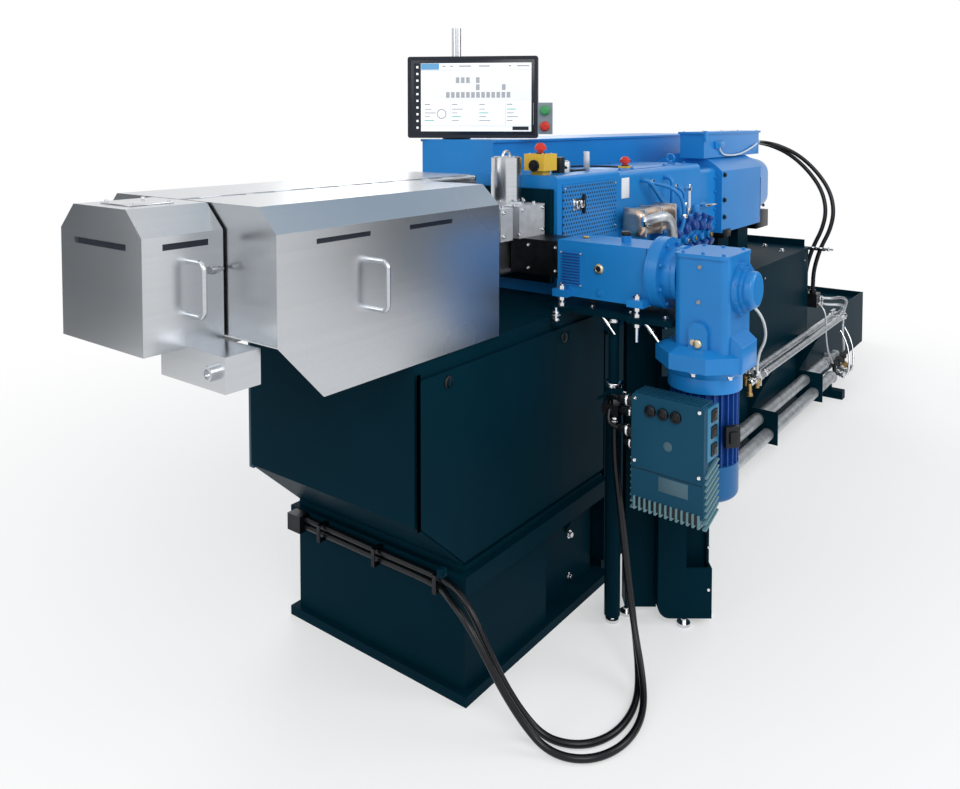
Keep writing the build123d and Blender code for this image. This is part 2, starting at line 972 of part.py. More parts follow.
# Stainless plug cylinder with a lifting ring
with BuildPart() as feed_cylinder:
    with BuildSketch(Plane.XY.offset(feed_top)) as plug:
        with Locations((feed_cylinder_x, feed_cylinder_y)):
            Circle(feed_cylinder_radius)
    extrude(amount=feed_cylinder_height)
    with BuildSketch(Plane.XY.offset(feed_top + feed_cylinder_height - feed_rim)) as plug_well:
        with Locations((feed_cylinder_x, feed_cylinder_y)):
            Circle(feed_cylinder_radius - feed_rim)
    extrude(amount=feed_rim, mode=Mode.SUBTRACT)
    ring_middle = (feed_cylinder_x, feed_cylinder_y, feed_top + feed_cylinder_height)
    with Locations(Location(ring_middle, (90, 0, 0))):
        Torus(ring_radius, ring_wire)
keep(feed_cylinder.part, "feed_cylinder")

# Dark shield plate between the feed barrel and the lantern
with BuildPart() as shield_plate:
    with BuildSketch(Plane.YZ.offset(shield_front)) as shield:
        with Locations((0, (shield_bottom + shield_top) / 2)):
            Rectangle(2 * shield_half_width, shield_top - shield_bottom)
    extrude(amount=shield_thickness)
keep(shield_plate.part, "shield_plate")

# Lantern: a cast housing with a window in each side and in its top
window_length = lantern_length - 2 * lantern_window_margin
window_height = (lantern_top - lantern_bottom) / 2
with BuildPart() as lantern:
    with BuildSketch(Plane.YZ.offset(lantern_front)) as lantern_section:
        with Locations((0, (lantern_bottom + lantern_top) / 2)):
            RectangleRounded(2 * lantern_half_width, lantern_top - lantern_bottom, lantern_corner)
    extrude(amount=lantern_length)
    for side in (-1, 1):
        with BuildSketch(Plane.XZ.offset(-side * lantern_half_width)) as window:
            with Locations(
                ((lantern_front + lantern_end) / 2, lantern_top - lantern_window_margin - window_height / 2)
            ):
                Rectangle(window_length, window_height)
        extrude(amount=side * lantern_cover_inset, mode=Mode.SUBTRACT)
keep(lantern.part, "lantern")

# Perforated guards fill the lantern's windows
guard_clearance = 1
with BuildPart() as lantern_guards:
    for side in (-1, 1):
        with BuildSketch(Plane.XZ.offset(-side * (lantern_half_width - lantern_cover_inset))) as guard:
            with Locations(
                ((lantern_front + lantern_end) / 2, lantern_top - lantern_window_margin - window_height / 2)
            ):
                Rectangle(window_length - guard_clearance, window_height - guard_clearance)
        extrude(amount=-side * (lantern_cover_inset + sheet))
keep(lantern_guards.part, "lantern_guards")

# Gearbox: upper and lower halves of the casting meet at a bolted joint
with BuildPart() as gearbox:
    with BuildSketch(Plane.YZ.offset(lantern_end)) as gearbox_section:
        with Locations((0, (gearbox_bottom + gearbox_top) / 2)):
            RectangleRounded(2 * gearbox_half_width, gearbox_top - gearbox_bottom, gearbox_corner)
    extrude(amount=gearbox_length)
    with BuildSketch(Plane.XY.offset(gearbox_joint_height - gearbox_joint_thickness / 2)) as joint_lip:
        with Locations(((lantern_end + gearbox_end) / 2, 0)):
            Rectangle(gearbox_length, 2 * (gearbox_half_width + gearbox_joint_lip))
    extrude(amount=gearbox_joint_thickness)
    with BuildSketch(Plane.YZ.offset(gearbox_end)) as coupling:
        with Locations((0, (motor_bottom + gearbox_top - coupling_drop) / 2)):
            RectangleRounded(
                2 * coupling_half_width, gearbox_top - coupling_drop - motor_bottom, gearbox_corner
            )
    extrude(amount=motor_front - gearbox_end)
keep(gearbox.part, "gearbox")

# Main motor: an arched housing on a square foot, with a tapered end bell
with BuildPart() as main_motor:
    with BuildSketch(Plane.YZ.offset(motor_front)) as motor_section:
        with BuildLine():
            Polyline(
                (-motor_half_width, motor_shoulder),
                (-motor_half_width, motor_bottom),
                (motor_half_width, motor_bottom),
                (motor_half_width, motor_shoulder),
            )
            ThreePointArc(
                (motor_half_width, motor_shoulder), (0, motor_crown), (-motor_half_width, motor_shoulder)
            )
        make_face()
    extrude(amount=motor_length)
    bell_half_width = motor_half_width - motor_bell_step
    bell_low = motor_bottom + motor_bell_lift
    bell_root_height = motor_crown - motor_bell_lift - bell_low
    with BuildSketch(Plane.YZ.offset(motor_end)) as bell_root:
        with Locations((0, bell_low + bell_root_height / 2)):
            RectangleRounded(2 * bell_half_width, bell_root_height, 2 * motor_corner)
    with BuildSketch(Plane.YZ.offset(motor_end + motor_bell_length)) as bell_tip:
        with Locations((0, bell_low + bell_root_height / 2)):
            RectangleRounded(
                2 * (bell_half_width - motor_bell_taper),
                bell_root_height - 2 * motor_bell_taper,
                2 * motor_corner,
            )
    loft()
keep(main_motor.part, "main_motor")

# Dark consoles carry the lantern, the gearbox and the motor on the deck
with BuildPart() as drive_consoles:
    console_places = (
        (cabinet_end + console_gap + console_length / 2, lantern_bottom),
        (lantern_end + gearbox_length / 4, gearbox_bottom),
        (gearbox_end - gearbox_length / 4, gearbox_bottom),
        (motor_front + motor_length / 4, motor_bottom),
        (motor_end - motor_length / 4, motor_bottom),
    )
    for place, top in console_places:
        with BuildSketch(Plane.XZ) as console:
            with Locations((place, (base_height + top) / 2)):
                Rectangle(console_length, top - base_height)
        extrude(amount=console_half_width - console_web, both=True)
keep(drive_consoles.part, "drive_consoles")

# Terminal box on the motor, with an overlapping lid and two glands at its rear
terminal_front = motor_front - terminal_overhang
terminal_end = terminal_front + terminal_length
terminal_middle = (terminal_near + terminal_far) / 2
terminal_width = terminal_far - terminal_near
gland_level = terminal_top - gland_drop
with BuildPart() as terminal_box:
    # Its underside is a saddle on the motor's crown
    terminal_bottom = motor_crown - terminal_saddle
    with BuildSketch(Plane.XY.offset(terminal_bottom)) as terminal_outline:
        with Locations(((terminal_front + terminal_end) / 2, terminal_middle)):
            Rectangle(terminal_length, terminal_width)
    extrude(amount=terminal_top - terminal_lid - terminal_bottom)
    add(main_motor.part, mode=Mode.SUBTRACT)
    with BuildSketch(Plane.XY.offset(terminal_top - terminal_lid)) as lid_outline:
        with Locations(((terminal_front + terminal_end) / 2, terminal_middle)):
            Rectangle(terminal_length + 2 * terminal_lid_lip, terminal_width + 2 * terminal_lid_lip)
    extrude(amount=terminal_lid)
    with BuildSketch(Plane.YZ.offset(terminal_end)) as glands:
        with Locations(
            (terminal_near + gland_inset, gland_level + gland_radius),
            (terminal_near + gland_inset + gland_spacing, gland_level + gland_radius),
        ):
            Circle(gland_radius)
    extrude(amount=gland_length)
keep(terminal_box.part, "terminal_box")

# Base frame: a plated frame on a set-back plinth under an overhanging deck
base_start = cabinet_end
base_middle = (base_start + base_end) / 2
base_length = base_end - base_start
with BuildPart() as base_frame:
    with BuildSketch() as base_plinth_outline:
        with Locations((base_middle, 0)):
            Rectangle(base_length - 2 * base_plinth_inset, 2 * (half_width - base_plinth_inset))
    extrude(amount=base_plinth)
    with BuildSketch(Plane.XY.offset(base_plinth)) as base_outline:
        with Locations((base_middle, 0)):
            Rectangle(base_length, 2 * half_width)
    extrude(amount=base_height - deck_thickness - base_plinth)
    with BuildSketch(Plane.XY.offset(base_height - deck_thickness)) as deck_outline:
        with Locations((base_middle + deck_lip / 2, 0)):
            Rectangle(base_length + deck_lip, 2 * (half_width + deck_lip))
    extrude(amount=deck_thickness)
    # A low lip closes the deck at the rear
    with BuildSketch(Plane.XY.offset(base_height)) as lip_outline:
        with Locations((base_end + deck_lip - rear_lip_thickness / 2, 0)):
            Rectangle(rear_lip_thickness, 2 * (half_width - base_plinth_inset))
    extrude(amount=rear_lip_height)
keep(base_frame.part, "base_frame")

# Low rear box with a recessed top
rear_box_front = base_end
with BuildPart() as rear_box:
    with BuildSketch() as rear_outline:
        with Locations((rear_box_front + rear_box_length / 2, (half_width - rear_box_near) / 2)):
            Rectangle(rear_box_length, half_width + rear_box_near)
    extrude(amount=rear_box_height)
    with BuildSketch(Plane.XY.offset(rear_box_height - rear_box_recess)) as rear_well:
        with Locations((rear_box_front + rear_box_length / 2, (half_width - rear_box_near) / 2)):
            Rectangle(
                rear_box_length - 2 * rear_box_wall, half_width + rear_box_near - 2 * rear_box_wall
            )
    extrude(amount=rear_box_recess, mode=Mode.SUBTRACT)
keep(rear_box.part, "rear_box")

# Long blue cable duct behind the drive, with folded edges along its lid
duct_end = duct_front + duct_length
duct_middle_y = (duct_near + duct_far) / 2
with BuildPart() as cable_duct:
    with BuildSketch(Plane.YZ.offset(duct_front)) as duct_section:
        with BuildLine():
            Polyline(
                (duct_near + duct_fold, duct_bottom),
                (duct_far - duct_fold, duct_bottom),
                (duct_far - duct_fold, duct_top - duct_fold),
                (duct_far, duct_top - duct_fold),
                (duct_far, duct_top),
                (duct_near, duct_top),
                (duct_near, duct_top - duct_fold),
                (duct_near + duct_fold, duct_top - duct_fold),
                close=True,
            )
        make_face()
    extrude(amount=duct_length)
keep(cable_duct.part, "cable_duct")

# Posts on the deck's far edge carry the duct on arms
with BuildPart() as duct_posts:
    for post in range(3):
        post_place = duct_front + duct_post_first + post * duct_post_step
        post_side = half_width - duct_post / 2
        with BuildSketch(Plane.XY.offset(base_height)) as post_outline:
            with Locations((post_place, post_side)):
                Rectangle(duct_post, duct_post)
        extrude(amount=duct_bottom - base_height)
        with BuildSketch(Plane.YZ.offset(post_place - duct_post / 2)) as arm:
            with BuildLine():
                Polyline(
                    (half_width, duct_bottom),
                    (duct_far - duct_fold, duct_bottom),
                    (duct_far - duct_fold, duct_bottom - duct_arm_height / 2),
                    (half_width, duct_bottom - 3 * duct_arm_height),
                    close=True,
                )
            make_face()
        extrude(amount=duct_post)
keep(duct_posts.part, "duct_posts")

# Swivel foot of the screen's post, bored for the post
with BuildPart() as screen_foot:
    with BuildSketch(Plane.XY.offset(duct_top)) as foot_outline:
        with Locations((post_x, post_y)):
            Circle(foot_radius)
            Circle(post_radius + foot_bore_clearance, mode=Mode.SUBTRACT)
    extrude(amount=foot_height)
keep(screen_foot.part, "screen_foot")

# The post turns in the foot and carries the screen's arm
post_bottom = duct_top + post_lift
face_x = cos(radians(screen_yaw))
face_y = sin(radians(screen_yaw))
# A plane whose x runs along the screen's width and whose z points from the screen to the user
screen_plane = Plane(
    origin=(
        post_x + face_y * screen_offset + face_x * screen_side_shift,
        post_y - face_x * screen_offset + face_y * screen_side_shift,
        screen_level,
    ),
    x_dir=(face_x, face_y, 0),
    z_dir=(face_y, -face_x, 0),
)
with BuildPart() as screen_post:
    with BuildSketch(Plane.XY.offset(post_bottom)) as post_outline:
        with Locations((post_x, post_y)):
            Circle(post_radius)
    extrude(amount=post_top - post_bottom)
    arm_depth = screen_offset - screen_depth
    with BuildSketch(screen_plane.offset(-screen_depth)) as arm_outline:
        with Locations((-screen_side_shift, 0)):
            Rectangle(2 * screen_arm_half, 2 * screen_arm_half)
    extrude(amount=-arm_depth)
keep(screen_post.part, "screen_post")

# Screen housing with a recessed display
with BuildPart() as screen_housing:
    with BuildSketch(screen_plane.offset(-screen_depth)) as housing_outline:
        RectangleRounded(screen_width, screen_height, screen_corner)
    extrude(amount=screen_depth)
    with BuildSketch(screen_plane.offset(-screen_recess)) as display_well:
        Rectangle(screen_width - 2 * screen_bezel, screen_height - 2 * screen_bezel)
    extrude(amount=screen_recess, mode=Mode.SUBTRACT)
keep(screen_housing.part, "screen_housing")

# Button station beside the screen
with BuildPart() as button_station:
    station_x = screen_width / 2 + button_box_width / 2
    station_y = -(screen_height - button_box_height) / 2 + button_box_drop / 2
    with BuildSketch(screen_plane.offset(-screen_depth)) as station_outline:
        with Locations((station_x, station_y)):
            Rectangle(button_box_width, button_box_height)
    extrude(amount=button_box_depth)
    with BuildSketch(screen_plane.offset(button_box_depth - screen_depth)) as buttons:
        with Locations(
            (station_x, station_y + button_box_height / 4), (station_x, station_y - button_box_height / 4)
        ):
            Circle(button_radius)
    extrude(amount=button_length)
keep(button_station.part, "button_station")


def stop_button(x, y, base):
    """A stem with a mushroom head, standing on a flat surface."""
    with BuildPart() as knob:
        with BuildSketch(Plane.XZ) as knob_profile:
            with BuildLine():
                Polyline(
                    (0, 0),
                    (stop_stem_radius, 0),
                    (stop_stem_radius, stop_stem_height),
                    (stop_knob_radius, stop_stem_height),
                    (stop_knob_radius, stop_stem_height + stop_knob_height / 2),
                    (stop_knob_radius / 2, stop_stem_height + stop_knob_height),
                    (0, stop_stem_height + stop_knob_height),
                    close=True,
                )
            make_face()
        revolve(axis=Axis.Z)
    return knob.part.moved(Location((x, y, base)))


# Yellow stop boxes on the lantern and the gearbox, with red mushroom buttons
with BuildPart() as stop_boxes:
    with BuildSketch(Plane.XY.offset(lantern_top)) as first_foot:
        with Locations((stop_box_x + stop_box_length / 2, stop_box_y)):
            Rectangle(stop_box_length - 2 * stop_box_inset, stop_box_width - 2 * stop_box_inset)
    extrude(amount=stop_box_lift)
    with BuildSketch(Plane.XY.offset(lantern_top + stop_box_lift)) as first_box:
        with Locations((stop_box_x + stop_box_length / 2, stop_box_y)):
            Rectangle(stop_box_length, stop_box_width)
    extrude(amount=stop_box_height)
    with BuildSketch(Plane.XY.offset(gearbox_top)) as second_box:
        with Locations((second_stop_x, second_stop_y)):
            Rectangle(2 * stop_knob_radius, 2 * stop_knob_radius)
    extrude(amount=second_stop_height)
keep(stop_boxes.part, "stop_boxes")

with BuildPart() as stop_buttons:
    first_stop_base = lantern_top + stop_box_lift + stop_box_height
    add(stop_button(stop_box_x + stop_box_length / 2, stop_box_y, first_stop_base))
    add(stop_button(second_stop_x, second_stop_y, gearbox_top + second_stop_height))
keep(stop_buttons.part, "stop_buttons")

# Oil cooler on the near side of the gearbox: a canister with rounded ends
with BuildPart() as oil_pump:
    with BuildSketch(Plane.YZ.offset(pump_front)) as pump_outline:
        with Locations((pump_y, pump_level)):
            RectangleRounded(pump_depth, pump_height, pump_corner)
    extrude(amount=pump_length)
    fillet(oil_pump.faces().sort_by(Axis.X)[0].edges(), radius=pump_end_round)
    fillet(oil_pump.faces().sort_by(Axis.X)[-1].edges(), radius=pump_end_round)
    with BuildSketch(Plane.XZ.offset(gearbox_half_width)) as pump_bracket:
        with Locations((pump_front + pump_length / 2, pump_level)):
            Rectangle(pump_length * pump_bracket_share, pump_height * pump_bracket_share)
    extrude(amount=-pump_y - gearbox_half_width)
keep(oil_pump.part, "oil_pump")

# Valve manifold with upright ports, and two oil pipes from them to the gearbox's side
with BuildPart() as valve_manifold:
    manifold_y = -(gearbox_half_width + manifold_width / 2)
    manifold_top = manifold_bottom + manifold_height
    with BuildSketch(Plane.XY.offset(manifold_bottom)) as manifold_outline:
        with Locations((manifold_x + manifold_length / 2, manifold_y)):
            Rectangle(manifold_length, manifold_width)
    extrude(amount=manifold_height)
    port_places = [manifold_x + (port + 0.5) * manifold_port_step for port in range(manifold_ports)]
    with BuildSketch(Plane.XY.offset(manifold_top)) as ports:
        for port_x in port_places:
            with Locations((port_x, manifold_y)):
                RegularPolygon(manifold_port_radius, 6)
    extrude(amount=manifold_port_height)
    straight_pipe = [
        Vector(port_places[1], manifold_y, manifold_top),
        Vector(port_places[1], manifold_y, oil_pipe_top),
        Vector(port_places[1], -gearbox_half_width, oil_pipe_top),
    ]
    slanting_pipe = [
        Vector(port_places[0], manifold_y, manifold_top),
        Vector(port_places[0], manifold_y, oil_pipe_shoulder),
        Vector(port_places[0] - oil_pipe_reach, manifold_y, oil_pipe_top),
        Vector(port_places[0] - oil_pipe_reach, -gearbox_half_width, oil_pipe_top),
    ]
    for corners in (straight_pipe, slanting_pipe):
        with BuildLine() as oil_line:
            FilletPolyline(*corners, radius=oil_pipe_bend)
        with BuildSketch(Plane(origin=corners[0], z_dir=(0, 0, 1))) as oil_bore:
            Circle(oil_pipe_radius)
        sweep(path=oil_line.line)
keep(valve_manifold.part, "valve_manifold")

# Feeder barrel: a black block from the main barrel to the feeder's housing
with BuildPart() as feeder_barrel:
    with BuildSketch(Plane.XZ.offset(barrel_half_width + barrel_flange_proud)) as feeder_section:
        with Locations((0, feeder_barrel_level)):
            Rectangle(2 * feeder_barrel_half, feeder_barrel_height)
    extrude(amount=feeder_start - barrel_half_width - barrel_flange_proud)
keep(feeder_barrel.part, "feeder_barrel")

# Feeder gear housing: a blue casting with four bored feet, a louvre panel and a cap
foot_reach = feeder_housing_half + feeder_foot_lip
foot_places = [
    -feeder_start - feeder_foot_length / 2,
    -feeder_housing_end + feeder_foot_length / 2,
]
rod_x = feeder_housing_half + feeder_foot_lip / 2
with BuildPart() as feeder_gearbox:
    housing_middle = (feeder_housing_bottom + feeder_housing_top) / 2
    with BuildSketch(Plane.XZ.offset(feeder_start)) as housing_section:
        with Locations((0, housing_middle)):
            Rectangle(2 * feeder_housing_half, feeder_housing_top - feeder_housing_bottom)
    extrude(amount=feeder_housing_length)
    with BuildSketch(Plane.XY.offset(feeder_housing_bottom)) as housing_feet:
        for foot_y in foot_places:
            with Locations((0, foot_y)):
                Rectangle(2 * foot_reach, feeder_foot_length)
            with Locations((-rod_x, foot_y), (rod_x, foot_y)):
                Circle(feeder_foot_bore, mode=Mode.SUBTRACT)
    extrude(amount=feeder_foot_height)
    louvre_length = feeder_housing_length * louvre_share
    for side in (-1, 1):
        with BuildSketch(Plane.YZ.offset(side * feeder_housing_half)) as louvre:
            with Locations((-feeder_start - louvre_margin - louvre_length / 2, housing_middle)):
                Rectangle(louvre_length, louvre_height)
        extrude(amount=side * louvre_depth)
    with BuildSketch(Plane.XY.offset(feeder_housing_top)) as housing_cap:
        with Locations((0, -feeder_housing_end + feeder_cap_inset)):
            Circle(feeder_cap_radius)
    extrude(amount=feeder_cap_height)
keep(feeder_gearbox.part, "feeder_gearbox")

# Round adapter between the feeder housing and the bevel gearbox
with BuildPart() as adapter_housing:
    adapter_plane = Plane.XZ.offset(feeder_housing_end)
    with BuildSketch(adapter_plane) as adapter_first:
        with Locations((0, adapter_level)):
            Circle(adapter_flange_radius)
    extrude(amount=adapter_flange)
    with BuildSketch(adapter_plane) as adapter_neck:
        with Locations((0, adapter_level)):
            Circle(adapter_neck_radius)
    extrude(amount=adapter_length)
    with BuildSketch(Plane.XZ.offset(adapter_end - adapter_rear_flange)) as adapter_second:
        with Locations((0, adapter_level)):
            Circle(adapter_rear_radius)
    extrude(amount=adapter_rear_flange)
keep(adapter_housing.part, "adapter_housing")

# Bevel gearbox: a cast box with a lid, an arched boss and a bulged skirt
with BuildPart() as bevel_gearbox:
    with BuildSketch(Plane.XY.offset(bevel_bottom)) as bevel_outline:
        with Locations((0, -bevel_middle)):
            RectangleRounded(2 * bevel_half, bevel_length, bevel_corner)
    extrude(amount=bevel_top - bevel_lid - bevel_bottom)
    with BuildSketch(Plane.XY.offset(bevel_top - bevel_lid)) as bevel_lid_outline:
        with Locations((0, -bevel_middle)):
            RectangleRounded(2 * bevel_half + bevel_lid, bevel_length, bevel_corner)
    extrude(amount=bevel_lid)
    with BuildSketch(Plane.YZ.offset(-bevel_half)) as side_boss:
        with Locations((-bevel_middle, bevel_boss_top - bevel_boss_radius)):
            Circle(bevel_boss_radius)
        boss_height = bevel_boss_top - bevel_boss_radius - bevel_bottom
        with Locations((-bevel_middle, bevel_bottom + boss_height / 2)):
            Rectangle(2 * bevel_boss_radius, boss_height)
    extrude(amount=-bevel_boss_length)
    with BuildSketch(Plane.YZ.offset(bevel_half)) as rear_cover:
        with Locations((-bevel_middle, rear_cover_low + rear_cover_height / 2)):
            Rectangle(rear_cover_width, rear_cover_height)
    extrude(amount=rear_cover_length)
    # A lug over the skirt's near side
    with BuildSketch(Plane.YZ.offset(drive_axis_x - skirt_lug_length / 2)) as skirt_lug:
        with BuildLine():
            Polyline(
                (-bevel_end, skirt_low),
                (-bevel_end, skirt_lug_top),
                (-bevel_end - skirt_lug_reach, skirt_lug_shoulder),
                (-bevel_end - skirt_lug_reach, skirt_low),
                close=True,
            )
        make_face()
    extrude(amount=skirt_lug_length)
    # The skirt is eight-sided and narrows to a round neck over the motor
    with BuildSketch(Plane.XY.offset(neck_top)) as skirt_root:
        with Locations((drive_axis_x, drive_axis_y)):
            Circle(neck_radius)
    with BuildSketch(Plane.XY.offset(skirt_low)) as skirt_lower:
        with Locations((drive_axis_x, drive_axis_y)):
            RegularPolygon(skirt_radius, skirt_sides, rotation=half_side)
    loft()
    with BuildSketch(Plane.XY.offset(feeder_motor_top)) as neck:
        with Locations((drive_axis_x, drive_axis_y)):
            Circle(neck_radius)
    extrude(amount=neck_top - feeder_motor_top)
    with BuildSketch(Plane.XY.offset(skirt_low)) as skirt:
        with Locations((drive_axis_x, drive_axis_y)):
            RegularPolygon(skirt_radius, skirt_sides, rotation=half_side)
    extrude(amount=skirt_high - skirt_low)
    with BuildSketch(Plane.XY.offset(skirt_high)) as slope_low:
        with Locations((drive_axis_x, drive_axis_y)):
            RegularPolygon(skirt_radius, skirt_sides, rotation=half_side)
    with BuildSketch(Plane.XY.offset(skirt_high + skirt_slope)) as slope_high:
        with Locations((drive_axis_x, drive_axis_y)):
            RegularPolygon(neck_radius, skirt_sides, rotation=half_side)
    loft()
    with BuildSketch(Plane.XZ.offset(bevel_end)) as cap_flange:
        with Locations((0, cap_level)):
            Circle(cap_flange_radius)
    extrude(amount=cap_flange_length)
    with BuildSketch(Plane.XZ.offset(bevel_end + cap_flange_length)) as cap_ring:
        with Locations((0, cap_level)):
            Circle(cap_ring_radius)
    extrude(amount=cap_ring_length)
    with BuildSketch(Plane.XZ.offset(bevel_end + cap_flange_length + cap_ring_length)) as cap_body:
        with Locations((0, cap_level)):
            Circle(cap_radius)
    extrude(amount=cap_length)
    fillet(bevel_gearbox.faces().sort_by(Axis.Y)[0].edges(), radius=cap_round)
keep(bevel_gearbox.part, "bevel_gearbox")

# Feeder motor hangs under the bevel gearbox, with cooling fins and a fan cowl
inverter_turn = radians(inverter_yaw)
inverter_plane = Plane(
    origin=(inverter_face_x, inverter_y, inverter_bottom + inverter_height / 2),
    x_dir=(sin(inverter_turn), -cos(inverter_turn), 0),
    z_dir=(-cos(inverter_turn), -sin(inverter_turn), 0),
)
motor_flange_bottom = feeder_motor_top - feeder_motor_flange
motor_body_bottom = motor_flange_bottom - feeder_motor_body
cowl_bottom = motor_body_bottom - feeder_motor_cap
with BuildPart() as feeder_motor:
    with BuildSketch(Plane.XY.offset(motor_flange_bottom)) as motor_flange:
        with Locations((drive_axis_x, drive_axis_y)):
            Circle(neck_radius)
    extrude(amount=feeder_motor_flange)
    with BuildSketch(Plane.XY.offset(motor_body_bottom)) as motor_body:
        with Locations((drive_axis_x, drive_axis_y)):
            Circle(small_motor_radius)
        with Locations((drive_axis_x, drive_axis_y)):
            with PolarLocations(small_motor_radius, fin_count):
                Rectangle(2 * fin_height, fin_thickness)
    extrude(amount=feeder_motor_body)
    with BuildSketch(Plane.XY.offset(cowl_bottom)) as cowl:
        with Locations((drive_axis_x, drive_axis_y)):
            Circle(feeder_motor_cap_radius)
    extrude(amount=feeder_motor_cap)
    fillet(feeder_motor.faces().sort_by(Axis.Z)[0].edges(), radius=feeder_motor_cap_round)
    # A flat pad on the motor's side carries the inverter box
    with BuildSketch(inverter_plane.offset(-inverter_depth)) as inverter_seat:
        Rectangle(inverter_pad, inverter_pad)
    extrude(amount=-small_motor_radius)
keep(feeder_motor.part, "feeder_motor")

# Inverter box on the motor's side, with cooling ribs above and below
with BuildPart() as inverter_box:
    with BuildSketch(inverter_plane.offset(-inverter_depth)) as inverter_outline:
        RectangleRounded(
            inverter_width - 2 * inverter_lid_inset, inverter_height - 2 * inverter_lid_inset, inverter_corner
        )
    extrude(amount=inverter_depth - inverter_lid)
    with BuildSketch(inverter_plane.offset(-inverter_lid)) as lid_face:
        RectangleRounded(inverter_width, inverter_height, inverter_corner)
    extrude(amount=inverter_lid)
    rib_row = inverter_height / 2 - inverter_lid_inset
    with BuildSketch(inverter_plane.offset(-inverter_depth)) as rib_outline:
        for rib in range(rib_count):
            rib_place = (rib - (rib_count - 1) / 2) * rib_pitch
            with Locations((rib_place, -rib_row), (rib_place, rib_row - rib_depth / 2)):
                Rectangle(rib_width, rib_depth)
    extrude(amount=inverter_depth - inverter_lid)
keep(inverter_box.part, "inverter_box")

# Feeder stand: one folded sheet with a step, a hand window and a rounded lower corner
stand_angle = radians(stand_turn)
stand_along = (-sin(stand_angle), cos(stand_angle), 0)
stand_out = (-cos(stand_angle), -sin(stand_angle), 0)
stand_top = carriage_height
stand_plane = Plane(
    origin=(stand_near_x, stand_near_y, 0), x_dir=stand_along, z_dir=(0, 0, 1)
)
with BuildPart() as feeder_stand:
    # Seen from above: local x runs along the plate and local y runs behind it
    with BuildSketch(stand_plane.offset(stand_bottom)) as stand_section:
        with BuildLine():
            Polyline(
                (0, 0),
                (0, -stand_depth),
                (stand_wall, -stand_depth),
                (stand_wall, -stand_wall),
                (stand_fold, -stand_wall),
                (stand_fold, -stand_step - stand_wall),
                (stand_width - stand_wall, -stand_step - stand_wall),
                (stand_width - stand_wall, -stand_depth),
                (stand_width, -stand_depth),
                (stand_width, -stand_step),
                (stand_fold + stand_wall, -stand_step),
                (stand_fold + stand_wall, 0),
                close=True,
            )
        make_face()
    extrude(amount=stand_top - stand_bottom)
    stand_face = Plane(
        origin=(stand_near_x, stand_near_y, 0), x_dir=(-stand_along[0], -stand_along[1], 0), z_dir=stand_out
    )
    with BuildSketch(stand_face) as stand_window:
        with Locations((stand_wall - stand_window_width / 2, stand_window_low + stand_window_height / 2)):
            Rectangle(stand_window_width, stand_window_height)
    extrude(amount=-overrun, both=True, mode=Mode.SUBTRACT)
    with BuildSketch(stand_face) as stand_corner:
        corner_end = -stand_fold - stand_wall
        with BuildLine():
            Polyline(
                (corner_end + stand_corner_length, stand_bottom),
                (corner_end, stand_bottom),
                (corner_end, stand_bottom + stand_corner_length),
            )
            RadiusArc(
                (corner_end, stand_bottom + stand_corner_length),
                (corner_end + stand_corner_length, stand_bottom),
                -stand_corner_length,
            )
        make_face()
    extrude(amount=-stand_step, both=True, mode=Mode.SUBTRACT)
    # The plate is cut back round the gearbox's skirt
    skirt_room_low = feeder_motor_top - 2 * feeder_motor_flange
    with BuildSketch(Plane.XY.offset(skirt_room_low)) as skirt_room:
        with Locations((drive_axis_x, drive_axis_y)):
            Circle(skirt_radius + 2 * seam)
    extrude(amount=stand_top - skirt_room_low, mode=Mode.SUBTRACT)
keep(feeder_stand.part, "feeder_stand")

# Levelling feet under the stand and the guide post
with BuildPart() as stand_feet:
    pad_places = [(guide_x, guide_y)]
    for along, behind in (
        (stand_wall / 2, stand_depth / 2),
        (stand_width - stand_wall / 2, stand_depth / 2),
        (stand_width / 3, stand_wall / 2),
    ):
        pad_x = stand_near_x + along * stand_along[0] - behind * stand_out[0]
        pad_y = stand_near_y + along * stand_along[1] - behind * stand_out[1]
        pad_places.append((pad_x, pad_y))
    with BuildSketch() as pad:
        with Locations(*pad_places):
            Circle(foot_pad_radius)
    extrude(amount=foot_pad_height)
    with BuildSketch(Plane.XY.offset(foot_pad_height)) as stem:
        with Locations(*pad_places):
            Circle(foot_stem_radius)
    extrude(amount=stand_bottom - foot_pad_height)
keep(stand_feet.part, "stand_feet")

# Carriage plate on the stand and the cabinet, with bored ears for the threaded rods
with BuildPart() as feeder_carriage:
    with BuildSketch(Plane.XY.offset(carriage_height)) as carriage_outline:
        with Locations((0, (carriage_near + carriage_far) / 2)):
            Rectangle(2 * carriage_half, carriage_far - carriage_near)
        for foot_y in foot_places:
            with Locations((0, foot_y)):
                Rectangle(2 * foot_reach, feeder_foot_length)
            with Locations((-rod_x, foot_y), (rod_x, foot_y)):
                Circle(feeder_foot_bore, mode=Mode.SUBTRACT)
    extrude(amount=carriage_thickness)
keep(feeder_carriage.part, "feeder_carriage")

